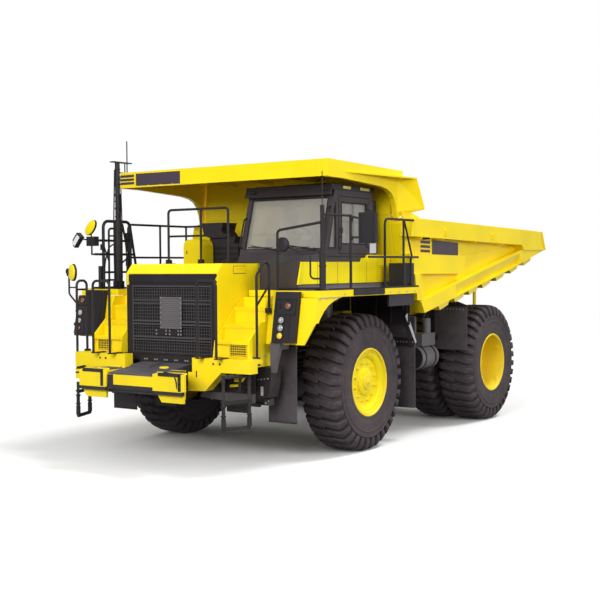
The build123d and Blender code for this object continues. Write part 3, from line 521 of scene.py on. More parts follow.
# ------------------------------------------------------------------ wheels: studs, nuts, hub covers
for nm_, s in (("left", 1), ("right", -1)):
    k = Kit()
    d = Vector((s, 0, 0))
    for i in range(12):
        t = 2 * pi * (i + .5) / 12
        p = Vector((s * 1.954, .302 * sin(t), 1.08 + .302 * cos(t)))
        k.turn([(0, .027), (.006, .027), (.009, .023)], p, d, 20)
        k.turn([(.006, .018), (.024, .018), (.028, .014)], p, d, 6)
        k.turn([(.024, .009), (.038, .009), (.040, .007)], p, d, 12)
    for i in range(10):
        t = 2 * pi * i / 10
        k.bolt((s * (1.9865), .168 * sin(t), 1.08 + .168 * cos(t)), d, .014, .014)
    k.turn([(0, .118), (.012, .118), (.022, .104), (.026, .060), (.032, .058), (.034, .02)], (s * 1.998, 0, 1.08), d, 40)
    k.turn([(0, .026), (.022, .026), (.026, .02)], (s * 2.028, 0, 1.08), d, 6)
    # lock ring and its gap on the rim's edge, valve stem
    k.turn_closed([(.0, .505), (.006, .508), (.011, .528), (.006, .536), (-.004, .534), (-.006, .512)], (s * 2.056, 0, 1.08), d, 96)
    for w, r in ((2.040, .497), (1.998, .452)):
        k.turn_closed([(-.006, r - .012), (.004, r - .012), (.006, r - .006), (.002, r + .004), (-.006, r + .004)], (s * w, 0, 1.08), d, 96)
    k.tube([(s * 1.99, .0, 1.08 + .405), (s * 2.03, .0, 1.08 + .42), (s * 2.05, .0, 1.08 + .47)], .008, .02, 8)
    k.build("front_hub_details_" + nm_, M["rim"], "front_wheel_" + nm_, "yellow_rim", 30)
    k = Kit()
    for i in range(16):
        t = 2 * pi * i / 16
        p = Vector((s * 1.706, 4.3 + .372 * sin(t), 1.08 + .372 * cos(t)))
        k.turn([(0, .030), (.008, .030), (.012, .026)], p, d, 18)
        k.turn([(.010, .021), (.034, .021), (.038, .016)], p, d, 6)
    for i in range(12):
        t = 2 * pi * (i + .5) / 12
        k.bolt((s * 1.755, 4.3 + .225 * sin(t), 1.08 + .225 * cos(t)), d, .014, .014)
    k.turn([(0, .185), (.020, .185), (.045, .160), (.060, .090), (.064, .03)], (s * 1.765, 4.3, 1.08), d, 40)
    k.turn([(0, .032), (.020, .032), (.025, .024)], (s * 1.826, 4.3, 1.08), d, 6)
    k.turn_closed([(.0, .502), (.006, .507), (.011, .528), (.006, .536), (-.004, .534), (-.006, .508)], (s * 2.206, 4.3, 1.08), d, 96)
    for i in range(5):
        t = 2 * pi * i / 5 + .2
        k.box(-.03, .03, -.035, .035, -.02, .02, .006, Matrix.Translation((s * 2.12, 4.3, 1.08)) @ Matrix.Rotation(t, 4, "X") @ Matrix.Translation((0, 0, .497)))
    k.build("rear_hub_details_" + nm_, M["rim"], "rear_wheels_" + nm_, "yellow_rim", 30)

# ------------------------------------------------------------------ grille
k = Kit()
gy = -2.318
n = 0
x = -.776
while x < .78:
    k.cyl((x, gy, 1.604), (x, gy, 2.638), .0058, 6)
    x += .048
z = 1.624
while z < 2.64:
    k.cyl((-.778, gy - .010, z), (.778, gy - .010, z), .0058, 6)
    z += .048
for z in (2.620, 2.412, 2.362, 2.092, 2.045, 1.850, 1.810):
    k.box(-.779, .779, gy - .030, gy - .012, z - .011, z + .011, .003)
for x in (-.779, .757):
    k.box(x, x + .022, gy - .026, gy - .004, 1.602, 2.638, .003)
k.build("grille_mesh", M["mesh_l"], "chassis", "mesh_steel")
k = Kit()
# panel in the middle of the grille: pleated cover with a frame and bolts
k.box(-.200, .214, gy - .036, gy - .026, 1.985, 2.462, .003)
for i in range(15):
    z = 2.020 + i * .0285
    k.box(-.176, .190, gy - .043, gy - .034, z, z + .015, .003)
for x in (-.198, .194):
    k.box(x, x + .018, gy - .046, gy - .034, 1.985, 2.462, .003)
for z in (1.985, 2.444):
    k.box(-.198, .212, gy - .046, gy - .034, z, z + .018, .003)
k.build("grille_centre_panel", M["panel"], "chassis", "mesh_steel")
k = Kit()
for x in (-.186, .202):
    for i in range(7):
        k.bolt((x, gy - .045, 2.00 + i * .075), (0, -1, 0), .009, .006)
for x in (-.29, -.10, -.03, .14, .19):
    for z in (1.902, 1.955):
        k.bolt((x, gy - .026, z), (0, -1, 0), .010, .007)
for i in range(5):
    for dx in (-.022, .022):
        k.bolt((-.50 + i * .2 + dx, -2.354, 1.514), (0, -1, 0), .011, .010)
k.build("grille_bolts", M["bolt"], "chassis", "mesh_steel")
k = Kit()
# surround of the grille with rounded outer corners, lower skirt
k.box(-.884, -.776, -2.356, -2.322, 1.520, 2.640, .012)
k.box(.776, .838, -2.356, -2.322, 1.520, 2.662, .012)
k.box(-.80, .80, -2.354, -2.322, 1.590, 1.622, .006)
k.box(-.80, .80, -2.352, -2.330, 1.502, 1.588, .006)
k.box(-.62, .62, -2.372, -2.346, 1.470, 1.506, .006)
k.box(-.31, .215, gy - .026, gy - .016, 1.880, 1.984, .003)
k.build("grille_surround", M["mesh"], "chassis", "mesh_steel")
k = Kit()
# dark band above the grille, left blank
k.py([(-.812, 2.672), (-.838, 2.700), (-.838, 2.790), (-.820, 2.806), (.868, 2.806), (.888, 2.784), (.850, 2.728), (.884, 2.684), (.876, 2.672)], -2.354, -2.3452)
k.box(-.80, .82, -2.360, -2.353, 2.680, 2.690, .002)
k.box(-.80, .82, -2.360, -2.353, 2.790, 2.798, .002)
k.build("hood_front_band", M["mesh"], "chassis", "black_paint")

# ------------------------------------------------------------------ hood: seams, painted shade outline round the side panel, latches, lifting eyes
k = Kit()
# thin black outline round the raised side panel: painted shade for the shade line along the panel's edge
k.box(.8928, .8950, -1.9725, -1.6675, 2.8045, 2.9195, .001)
k.build("hood_side_painted_shade_outline", M["black"], "chassis", "black_paint")
k = Kit()
k.box(.893, .9005, -1.965, -1.675, 2.812, 2.912, .003)
k.box(-.9005, -.893, -1.965, -1.675, 2.812, 2.912, .003)
k.box(.893, .909, -1.90, -1.74, 2.884, 2.896, .003)
for s in (1, -1):
    for y in (-2.28, -1.45):
        for z in (1.75, 2.2, 2.65):
            k.bolt((s * .8925, y, z), (s, 0, 0), .010, .006)
k.build("hood_side_details", M["yellow"], "chassis", "yellow_paint")
k = Kit()
for s in (1, -1):
    k.box(s * .8925, s * .8945, -1.352, -1.346, 1.52, 2.955, .0008)
k.box(-.89, .89, -1.352, -1.346, 2.9565, 2.9585, .0008)
k.box(-.004, .004, -2.20, -1.352, 2.9565, 2.9585, .0008)
k.build("hood_seams", M["seal"], "chassis", "black_paint")
k = Kit()
for x in (-.55, .55):
    k.box(x - .07, x + .07, -1.80, -1.66, 2.957, 2.965, .003)
    k.tube([(x - .045, -1.73, 2.962), (x - .045, -1.73, 3.005), (x + .045, -1.73, 3.005), (x + .045, -1.73, 2.962)], .009, .02, 10)
k.build("hood_lift_handles", M["black"], "chassis", "black_paint")

# ------------------------------------------------------------------ bumper
def mirror_build(k, *a, **kw):
    return k.mirror().build(*a, **kw)

k = Kit()
# black bars along the lower edges of the beam and boxes
k.box(-.455, .455, -3.236, -3.200, 1.150, 1.2135, .004)
k.box(-.47, .47, -3.200, -3.140, 1.100, 1.172, .008)
for s in (1, -1):
    k.box(s * .462, s * .995, -3.274, -3.2215, 1.124, 1.173, .004)
    k.prism([(s * .90, -3.270, 1.150), (s * .990, -3.270, 1.150), (s * .990, -3.222, 1.150), (s * .742, -2.905, 1.150), (s * .70, -2.905, 1.150), (s * .93, -3.215, 1.150)], (0, 0, .0235))
# dark clamp ribbons near the left end of each box: down the front, then flat over the top
for x0 in (.922, -.550):
    x1 = x0 + .056
    k.box(x0, x1, -3.289, -3.2802, 1.188, 1.412, .003)
    k.px([(-3.289, 1.400), (-3.289, 1.414), (-3.205, 1.4245), (-3.120, 1.4245), (-3.120, 1.4155), (-3.200, 1.4155), (-3.2802, 1.4055), (-3.2802, 1.400)], x0, x1)
    for z in (1.23, 1.30, 1.37):
        k.bolt((x0 + .027, -3.289, z), (0, -1, 0), .011, .008)
    a0 = x0 - .36
    k.prism([(a0 - .06, -3.225, 1.418), (a0, -3.284, 1.4095), (x1, -3.284, 1.4095), (x1, -3.225, 1.418)], (0, 0, .013))
    k.box(a0, x0 + .01, -3.291, -3.2805, 1.386, 1.412, .003)
# dark plate between the right box and the beam: painted shadow of the beam's side; dark plates closing the gaps to the
# wings: painted shade for the shadowed inside of the gaps
k.prism([(-.432, -3.262, 1.200), (-.398, -3.262, 1.200), (-.335, -3.2415, 1.200), (-.365, -3.2415, 1.200)], (0, 0, .160))
k.prism([(-.456, -3.262, 1.150), (-.380, -3.262, 1.150), (-.320, -3.2415, 1.150), (-.456, -3.2415, 1.150)], (0, 0, .055))
for s in (1, -1):
    k.box(s * .479, s * .486, -2.895, -2.652, 1.151, 1.361, .001)
    k.box(s * .484, s * .578, -2.662, -2.6505, 1.118, 1.400, .003)
    k.box(s * .486, s * .600, -2.80, -2.70, 1.13, 1.30, .010)
# recovery arm lying on the near box
k.tube([(.90, -3.268, 1.20), (.90, -3.293, 1.33), (.84, -3.27, 1.424), (.62, -3.225, 1.436)], .010, .04, 8)
k.build("bumper_trim_bars_and_painted_shade", M["black"], "chassis", "black_paint")
k = Kit()
# yellow edge around the dark plates, bolts and slots on the wings
k.box(.470, .745, -2.906, -2.895, 1.416, 1.436, .003)
k.box(.470, .955, -3.200, -3.190, 1.4145, 1.436, .003)
for x in (1.05, 1.167):
    k.turn([(0, .020), (.006, .020), (.008, .014)], (x, -2.650, 1.529), (0, -1, 0), 16)
k2 = Kit()
# yellow end plates outside the ribbons, one on each box
k2.box(.979, 1.030, -3.2885, -3.230, 1.180, 1.424, .004)
k2.box(.80, 1.030, -3.216, -3.205, 1.418, 1.440, .003)
k2.box(-.493, -.440, -3.2885, -3.2415, 1.180, 1.430, .004)
k2.box(-.68, -.440, -3.216, -3.205, 1.418, 1.446, .003)
k2.build("bumper_box_end_plates", M["yellow"], "chassis", "yellow_paint")
mirror_build(k, "bumper_yellow_trim", M["yellow"], "chassis", "yellow_paint")
k = Kit()
k.box(.727, .748, -2.654, -2.648, 1.322, 1.416, .002)
for x in (1.05, 1.167):
    k.bolt((x, -2.657, 1.529), (0, -1, 0), .012, .008)
for x in (.56, .70):
    for y in (-3.16, -2.95):
        k.bolt((x, y, 1.4318), (0, 0, 1), .009, .006)
mirror_build(k, "bumper_bolts", M["dark"], "chassis", "black_paint")
k = Kit()
# raised slotted plate and the yellow oval cover on the step plate
def slope(y):
    return 1.381 + (y + 3.24) * .1183
for a, b in ((-.44, -.06),):
    y0, y1 = -2.76, -2.50
    k.prism([(a, y0, slope(y0) + .001), (b, y0, slope(y0) + .001), (b, y1, slope(y1) + .001), (a, y1, slope(y1) + .001)], (0, 0, .022))
for i in range(5):
    yy = -2.73 + i * .044
    k.prism([(-.40, yy, slope(yy) + .022), (-.12, yy, slope(yy) + .022), (-.12, yy + .016, slope(yy + .016) + .022), (-.40, yy + .016, slope(yy + .016) + .022)], (0, 0, .006))
for i in range(14):
    yy = -3.18 + i * .055
    k.prism([(.03, yy, slope(yy)), (.43, yy, slope(yy)), (.43, yy + .012, slope(yy + .012)), (.03, yy + .012, slope(yy + .012))], (0, 0, .007))
    k.prism([(-.43, yy, slope(yy)), (-.42, yy, slope(yy)), (-.42, yy + .012, slope(yy + .012)), (-.43, yy + .012, slope(yy + .012))], (0, 0, .007))
k.build("step_plate_ribs", M["grip"], "chassis", "grey_paint")
k = Kit()
c = Vector((.22, -2.76, slope(-2.76) + .004))
k.loft([[c + Vector((a * cos(t), b * sin(t), h + b * sin(t) * .118)) for t in [2 * pi * i / 28 for i in range(28)]] for a, b, h in ((.085, .052, 0), (.085, .052, .008), (.070, .042, .016), (.03, .02, .019))])
k.build("step_plate_cover", M["yellow"], "chassis", "yellow_paint")

# ------------------------------------------------------------------ stairs: grip strips, mesh windows, side bolts
k = Kit()
for y, z in ((-2.440, 1.841), (-2.230, 2.067), (-1.975, 2.307)):
    for j in range(5):
        yy = y + .02 + j * .042
        k.box(.93, 1.47, yy, yy + .012, z, z + .005, .002)
mirror_build(k, "stair_grip_strips", M["yellow"], "chassis", "yellow_paint", 30)
k = Kit()
k.box(1.155, 1.455, -2.402, -2.396, 1.628, 1.800, .002)
mirror_build(k, "stair_window_backs", M["black"], "chassis", "black_paint")
k = Kit()
for i in range(9):
    x = 1.17 + i * .034
    k.cyl((x, -2.407, 1.632), (x, -2.407, 1.797), .004, 4)
for i in range(5):
    z = 1.645 + i * .034
    k.cyl((1.158, -2.411, z), (1.452, -2.411, z), .004, 4)
for a, b, c_, d_ in ((1.14, 1.47, 1.618, 1.630), (1.14, 1.47, 1.796, 1.808), (1.14, 1.155, 1.618, 1.808), (1.455, 1.47, 1.618, 1.808)):
    k.box(a, b, -2.412, -2.396, c_, d_, .003)
mirror_build(k, "stair_window_mesh", M["yellow"], "chassis", "yellow_paint")
k = Kit()
for s, e in ((1, .0), (-1, .0)):
    k.box(s * 1.5005, s * 1.5035, -2.30, -2.28, 1.62, 1.72, .001)
    for y, z in ((-2.36, 1.62), (-2.05, 1.62), (-1.90, 2.22), (-1.70, 2.40)):
        k.bolt((s * 1.530, y, z), (s, 0, 0), .012, .008)
k.build("stair_bolts", M["zinc"], "chassis", "black_paint")

# ------------------------------------------------------------------ hanging ladders: rubber links and rungs
k = Kit()
for s in (1, -1):
    a, b = Vector((s * 1.41, -2.89, 0)), Vector((s * 1.561, -2.493, 0))
    for p in (a, b):
        for z0, z1, r in ((.655, .80, .034), (.80, .97, .027)):
            k.cyl((p.x, p.y, z0), (p.x, p.y, z1), r, 14, .006)
        for z in (.82, .95, 1.02, 1.30):
            k.turn([(0, .038), (.016, .038), (.020, .03)], (p.x, p.y, z), (0, 0, 1), 14)
    for z in (.64, 1.01, 1.37):
        u = (b - a).normalized()
        for q in (-.03, .03):
            w = Vector((-u.y, u.x, 0)) * q
            k.cyl(Vector((a.x, a.y, z)) + w * .6, Vector((b.x, b.y, z)) + w * .6, .011, 8)
        for i in range(7):
            p = a.lerp(b, (i + .5) / 7)
            k.box(p.x - .014, p.x + .014, p.y - .030, p.y + .030, z + .012, z + .028, .003)
k.build("ladder_rubber_links", M["seal"], "chassis", "rubber")
# ------------------------------------------------------------------ lamp pods
def podp(x, z, lift=0.0):
    return Vector((x, -2.139 + (z - 1.824) * .1792 - lift * .984, z + lift * .176))


PN = Vector((0, -.984, .176))


def each(fn, name, mat, body="chassis", slot=None):
    k = Kit()
    fn(k)
    return k.mirror().build(name, mat, body, slot)


def slab(k, x0, x1, z0, z1, t0, t1):
    k.prism([podp(x0, z0, t0), podp(x1, z0, t0), podp(x1, z1, t0), podp(x0, z1, t0)], PN * (t1 - t0))


k = Kit()
for x0, x1, z0, z1 in ((1.712, 1.732, 2.232, 2.440), (2.046, 2.066, 2.232, 2.440), (1.712, 2.066, 2.220, 2.240), (1.712, 2.066, 2.432, 2.452)):
    slab(k, x0, x1, z0, z1, .0005, .014)
slab(k, 1.70, 1.985, 1.842, 2.212, .0005, .008)
for z in (2.140, 2.030, 1.920):
    k.turn([(0, .062), (.012, .062), (.018, .054), (.010, .047), (.008, .01)], podp(1.835, z, .006), PN, 28)
k.turn([(0, .072), (.014, .072), (.020, .062), (.012, .052), (.010, .01)], podp(1.93, 2.345, .001), PN, 28)
slab(k, 1.76, 1.80, 2.30, 2.39, .0005, .012)
for z in (2.140, 2.030):
    k.turn_closed([(.010, .034), (.0195, .031), (.0205, .026), (.012, .024)], podp(1.835, z, .010), PN, 24)
slab(k, -2.05, -1.72, 1.86, 2.50, .0005, .010)
k.build("pod_bezels", M["black"], "chassis", "lamp_plastic")
k = Kit()
for z in (2.140, 2.030):
    k.turn([(0, .046), (.006, .044), (.013, .034), (.017, .016), (.018, .004)], podp(1.835, z, .013), PN, 24)
k.build("pod_head_lamps", M["lamp"], "chassis", "lamp_plastic")
k = Kit()
k.turn([(0, .046), (.006, .044), (.013, .034), (.017, .016), (.018, .004)], podp(1.835, 1.920, .013), PN, 24)
k.build("pod_turn_lamp", M["turn"], "chassis", "lamp_plastic")
k = Kit()
k.turn([(0, .050), (.006, .048), (.012, .036), (.015, .018), (.016, .004)], podp(1.93, 2.345, .012), PN, 24)
k.build("pod_marker_lamp", M["marker"], "chassis", "lamp_plastic")
each(lambda k: (k.py([(1.645, 1.822), (1.83, 1.822), (1.715, 1.385), (1.645, 1.385)], -2.10, -2.03), k.box(1.645, 1.70, -2.03, -1.70, 1.70, 1.80, .006)), "pod_struts", M["grey"], slot="black_paint")


def pod_side(k):
    for z in (1.90, 2.10, 2.30, 2.48):
        y = -2.054 + (z - 1.824) * .1792 - .03
        k.bolt((2.0805, y, z), (1, 0, 0), .010, .006)
    for x in (1.72, 2.05):
        for z in (1.845, 2.52):
            k.bolt(podp(x, z, .001), PN, .009, .006)


each(pod_side, "pod_bolts", M["dark"], slot="black_paint")

# ------------------------------------------------------------------ lamp cluster on the right fender
def fsheet(x, z, lift=0.0):
    return Vector((x, -2.055 + (z - 1.795) * .1815 - lift * .984, z + lift * .178))


k = Kit()
for x0, x1, z0, z1, t in ((-2.330, -2.086, 1.80, 2.452, .012), (-2.30, -2.10, 2.30, 2.44, .034), (-2.33, -2.12, 1.83, 2.27, .026), (-2.25, -2.10, 1.86, 2.24, .040)):
    q = [fsheet(x0, z0, .002), fsheet(x1, z0, .002), fsheet(x1, z1, .002), fsheet(x0, z1, .002)]
    k.prism(q, PN * t)
for x, z, r in ((-2.20, 2.37, .060), (-2.22, 2.17, .062), (-2.22, 2.04, .058), (-2.22, 1.92, .052), (-2.30, 2.20, .030), (-2.30, 1.98, .030)):
    k.turn([(0, r), (.018, r), (.024, r - .010), (.012, r - .016), (.010, .01)], fsheet(x, z, .034), PN, 28)
k.build("right_lamp_cluster", M["dark"], "chassis", "lamp_plastic")
k = Kit()
for z, r in ((2.17, .044), (2.04, .040)):
    k.turn([(0, r), (.006, r - .002), (.012, r * .6), (.014, .004)], fsheet(-2.22, z, .046), PN, 24)
k.build("right_cluster_lamps", M["lamp"], "chassis", "lamp_plastic")
k = Kit()
k.turn([(0, .042), (.006, .040), (.012, .026), (.014, .004)], fsheet(-2.20, 2.37, .046), PN, 24)
k.turn([(0, .034), (.006, .032), (.012, .020), (.014, .004)], fsheet(-2.22, 1.92, .046), PN, 24)
k.build("right_cluster_signals", M["brown"], "chassis", "lamp_plastic")

# ------------------------------------------------------------------ fenders, deck edges, flaps
def fender_trim(k):
    k.box(2.3505, 2.357, -1.905, -1.30, 2.448, 2.458, .002)
    for y in (-1.86, -1.70, -1.50):
        k.bolt((2.3505, y, 2.43 if y < -1.8 else 2.445), (1, 0, 0), .010, .006)
    for i in range(9):
        k.bolt((2.3505, -1.2 + i * .27, 2.492), (1, 0, 0), .010, .006)


each(fender_trim, "fender_bolts", M["zinc"], slot="yellow_paint")


def deck_lip(k):
    # toe board and the dark step on the walkway's edge
    k.box(2.351, 2.372, -.955, -.050, 2.472, 2.560, .006)
    k.box(2.20, 2.349, -.94, -.07, 2.5605, 2.570, .004)
    for i in range(10):
        k.box(2.21, 2.34, -.91 + i * .088, -.892 + i * .088, 2.570, 2.575, .002)
    k.box(2.335, 2.349, -1.60, -.955, 2.5605, 2.588, .003)
    k.box(2.335, 2.349, -.050, 1.10, 2.5605, 2.588, .003)


each(deck_lip, "walkway_steps", M["black"], slot="grey_paint")
k = Kit()
for s in (1, -1):
    for i in range(12):
        k.bolt((s * (1.345 + i * .04), -1.6905, 1.762), (0, -1, 0), .009, .006)
    for i in range(14):
        k.bolt((s * (1.33 + i * .058), 1.3745, 1.63), (0, -1, 0), .010, .007)
    for i in range(12):
        k.bolt((s * (1.50 + i * .065), 3.0395, 2.12), (0, -1, 0), .010, .007)
k.build("flap_bolts", M["bolt"], "chassis", "black_paint")
k = Kit()
for s in (1, -1):
    # dark sheets over the front wheel, between the deck and the tyre: painted shade for the shadow in the wheel well
    k.box(s * 1.006, s * 1.024, -1.58, 1.10, 2.150, 2.440, .004)
    for y in (-1.2, -.6, 0, .6):
        k.box(s * 1.024, s * 1.040, y - .02, y + .02, 2.16, 2.43, .003)
    k.box(s * 1.03, s * 2.16, 1.130, 1.145, 1.930, 2.452, .004)
    for x in (1.10, 1.45, 1.80, 2.10):
        k.box(s * (x - .02), s * (x + .02), 1.112, 1.131, 1.95, 2.44, .003)
k.build("wheelhouse_painted_shade_sheets", M["black"], "chassis", "black_paint")
k = Kit()
for s in (1, -1):
    a, b = Vector((s * 2.12, 1.09, 2.10)), Vector((s * 2.12, 1.415, 1.62))
    u = Vector((0, (b - a).z, -(b - a).y)).normalized()
    o = Vector((.005, 0, 0))
    k.loft([[a - o - u * .042, a + o - u * .042, a + o + u * .042, a - o + u * .042], [b - o - u * .020, b + o - u * .020, b + o + u * .020, b - o + u * .020]])
k.build("flap_stay_strips", M["pale"], "chassis", "lamp_plastic")
k = Kit()
# dark block with ribs behind the cab: painted shade for the deep shadow between the cab and the body's front wall
k.box(1.22, 1.80, .562, .690, 2.66, 3.97, .02)
for i in range(9):
    k.box(1.26, 1.76, .688, .698, 2.80 + i * .12, 2.84 + i * .12, .004)
k.build("cab_rear_painted_shade_block", M["black"], "chassis", "black_paint")
k = Kit()
for s in (1, -1):
    k.box(s * 1.325, s * 1.81, -1.7005, -1.6905, 1.735, 1.790, .003)
    k.box(s * 1.325, s * 1.81, -1.6995, -1.6905, .612, .632, .003)
    k.box(s * 1.31, s * 2.10, 1.4155, 1.424, .53, .56, .003)
k.build("flap_clamp_bars", M["black"], "chassis", "black_paint")

# ------------------------------------------------------------------ cab
def wsy(z, off=0.0):
    return -.900 + (z - 3.12) * (.280 / .960) - off


k = Kit()
# rubber seals round the windshield, side and door windows
def frame_on(pts, w, lift, k=k):
    n = len(pts)
    ctr = sum((Vector(p) for p in pts), Vector()) / n
    nrm = (Vector(pts[1]) - Vector(pts[0])).cross(Vector(pts[2]) - Vector(pts[1])).normalized()
    for i in range(n):
        a, b = Vector(pts[i]), Vector(pts[(i + 1) % n])
        ina, inb = (ctr - a).normalized() * w * 1.4, (ctr - b).normalized() * w * 1.4
        q = [a, b, b + inb, a + ina]
        k.prism([p + nrm * lift for p in q], -nrm * lift * 2)


frame_on([(.285, wsy(3.175), 3.175), (1.735, wsy(3.175), 3.175), (1.735, wsy(3.965), 3.965), (.285, wsy(3.965), 3.965)], .014, .004)
frame_on([(1.822, -.805, 3.175), (1.822, -.600, 3.175), (1.822, -.600, 3.90), (1.822, -.640, 3.79)], .018, .003)
frame_on([(.198, -.72, 3.175), (.198, .405, 3.175), (.198, .385, 3.925), (.198, -.52, 3.925)], .024, .003)
k.build("cab_window_seals", M["seal"], "chassis", "rubber")
k = Kit()
frame_on([(1.8215, -.445, 3.245), (1.8215, .325, 3.245), (1.8215, .325, 3.905), (1.8215, -.445, 3.905)], .022, .003, k)
k.box(1.8195, 1.8225, -.508, -.503, 3.11, 3.98, .0008)
k.box(1.820, 1.8235, -.10, -.085, 3.26, 3.895, .001)
k.build("cab_door_seals", M["seal"], "cab_door_body", "rubber")
k = Kit()
k.box(1.790, 1.797, -.438, .318, 3.252, 3.898, .001)
k.build("cab_door_glass", M["glass"], "cab_door_body", "glass")
k = Kit()
k.px([(-.795, 3.185), (-.605, 3.185), (-.605, 3.885), (-.64, 3.78)], 1.790, 1.797)
k.build("cab_quarter_glass", M["glass"], "chassis", "glass")
k = Kit()
k.box(1.820, 1.828, -.49, -.40, 3.42, 3.50, .004)
k.tube([(1.824, -.585 + .10, 3.36), (1.852, -.585 + .10, 3.38), (1.852, -.485, 3.20), (1.824, -.485, 3.16)], .009, .02, 8)
k.build("cab_door_handle", M["black"], "cab_door_body", "black_paint")
k = Kit()
# wipers with arms, motors and blades; grab rail beside the windshield
for x, t in ((.92, .50), (1.62, .50)):
    a = Vector((x, wsy(3.165, .022), 3.165))
    b = Vector((x - t, wsy(3.235, .026), 3.235))
    k.cyl(a, b, .008, 8)
    k.turn([(0, .024), (.018, .024), (.024, .016)], a + Vector((0, .012, 0)), (0, -1, .29), 16)
    c1, c2 = b + Vector((-.06, 0, -.024)), b + Vector((.40, 0, -.034))
    c1.y, c2.y = wsy(c1.z, .012), wsy(c2.z, .012)
    k.cyl(c1, c2, .007, 6)
k.tube([(.235, wsy(3.20, .002), 3.20), (.235, wsy(3.20, .075), 3.21), (.235, wsy(3.66, .075), 3.66), (.235, wsy(3.66, .002), 3.68)], .013, .04, 10)
k.tube([(1.79, wsy(3.15, .0), 3.15), (1.79, wsy(3.15, .07), 3.16), (1.79, wsy(3.80, .07), 3.80), (1.79, wsy(3.80, .0), 3.82)], .013, .04, 10)
k.build("cab_wipers_and_grab_rails", M["black"], "chassis", "black_paint")
k = Kit()
# roof: ribs, air unit, work lamp housings
k.box(.30, 1.72, -.62, .46, 4.1645, 4.176, .008)
for i in range(6):
    k.box(.40 + i * .235, .44 + i * .235, -.56, .40, 4.175, 4.184, .004)
k.box(.62, 1.42, -.30, .34, 4.182, 4.212, .012)
k.box(.195, 1.825, -.716, -.690, 4.100, 4.160, .008)
for x in (.36, 1.70):
    k.box(x - .06, x + .06, -.778, -.740, 4.062, 4.104, .008)
k.build("cab_roof_fittings", M["black"], "chassis", "black_paint")
k = Kit()
for x in (.36, 1.70):
    k.box(x - .050, x + .050, -.783, -.776, 4.068, 4.098, .004)
k.build("cab_work_lamps", M["plastic"], "chassis", "lamp_plastic")
k = Kit()
for y0, y1 in ((-.41, -.20), (.10, .37)):
    k.box(1.826, 1.856, y0, y1, 4.100, 4.146, .010)
k.build("cab_side_lamps", M["straw"], "chassis", "lamp_plastic")
k = Kit()
# lower cab: sill, seams, vents and latches
k.box(1.8205, 1.826, -.96, .53, 3.052, 3.062, .001)
k.box(1.8605, 1.8625, -1.60, .99, 2.6385, 2.6435, .0008)
for y in (.246, -.62, -1.18):
    k.box(1.8603, 1.8618, y, y + .005, 2.645, 2.97, .0006)
k.box(1.8603, 1.8615, .585, .588, 2.668, 2.962, .0004)
k.box(1.8603, 1.868, .50 + .31, .50 + .35, 2.857, 2.925, .003)
k.build("cab_base_seams", M["seal"], "chassis", "black_paint")
k = Kit()
for i in range(9):
    z = 2.684 + i * .031
    k.prism([(1.8595, .610, z), (1.872, .610, z - .012), (1.875, .610, z - .008), (1.8595, .610, z + .006)], (0, .180, 0))
k.build("cab_base_louvres", M["yellow"], "chassis", "yellow_paint")
k = Kit()
k.box(1.8603, 1.8618, .968, 1.030, 2.652, 2.712, .0006)
k.build("cab_base_blank_label", M["pale"], "chassis", "lamp_plastic")
k = Kit()
for y in (-1.50, -1.25, -.70, -.30, .10, .92):
    for z in (2.665, 2.95):
        k.bolt((1.8603, y + (.05 if z > 2.8 and y < -1.4 else 0), z), (1, 0, 0), .010, .006)
k.build("cab_base_bolts", M["yellow"], "chassis", "yellow_paint")
k = Kit()
# cowl seam and its fasteners
k.prism([(.906, -1.2520 - .001, 2.883), (1.812, -1.5580 - .001, 2.883), (1.812, -1.5580 - .001, 2.888), (.906, -1.2520 - .001, 2.888)], (0, -.0035, 0))
for i in range(4):
    x = 1.0 + i * .25
    k.turn([(0, .014), (.006, .014), (.008, .009)], (x, -1.285 - (x - .9) * .335 - .006, 2.78), (-.31, -.95, 0), 12)
k.build("cab_cowl_seam", M["seal"], "chassis", "black_paint")

# ------------------------------------------------------------------ cab inside: cushions, displays, levers
def cushion(name, lo, hi, crown, pull, chan=(), axis=2, mat="cloth"):
    """Closed padded form: superellipse plan, crowned top, sides pulled in, sewn channels across."""
    lo, hi = Vector(lo), Vector(hi)
    c, h = (lo + hi) / 2, (hi - lo) / 2
    ax = [0, 1, 2]
    ax.remove(axis)
    nu, nv = 40, 18
    vs, fs = [], []
    for j in range(nv + 1):
        ph = -pi / 2 + pi * j / nv
        for i in range(nu):
            th = 2 * pi * i / nu
            e1, e2 = .28, .42
            def sp(v, e):
                return math.copysign(abs(v) ** e, v)
            u = sp(cos(ph), e2) * sp(cos(th), e1)
            w = sp(cos(ph), e2) * sp(sin(th), e1)
            t = sp(sin(ph), e2)
            q = 1 - pull * (abs(u) ** 4) * (1 - abs(w) ** 4) * .5 - pull * (abs(w) ** 4) * (1 - abs(u) ** 4) * .5
            p = [0, 0, 0]
            p[ax[0]] = c[ax[0]] + h[ax[0]] * u * q
            p[ax[1]] = c[ax[1]] + h[ax[1]] * w * q
            top = t * (1 - crown * (u * u + w * w) * .5)
            for cc in chan:
                top -= .10 * math.exp(-((w - cc) / .035) ** 2) * (1 if t > 0 else 0)
            p[axis] = c[axis] + h[axis] * top
            vs.append(tuple(p))
    for j in range(nv):
        for i in range(nu):
            a, b = j * nu + i, j * nu + (i + 1) % nu
            fs.append((a, b, b + nu, a + nu))
    k = Kit()
    k.add(vs, fs)
    o = k.build(name, M[mat], "chassis", "seat_fabric", 80)
    import bmesh
    bm = bmesh.new()
    bm.from_mesh(o.data)
    bmesh.ops.remove_doubles(bm, verts=bm.verts, dist=1e-5)
    bm.to_mesh(o.data)
    bm.free()
    return o


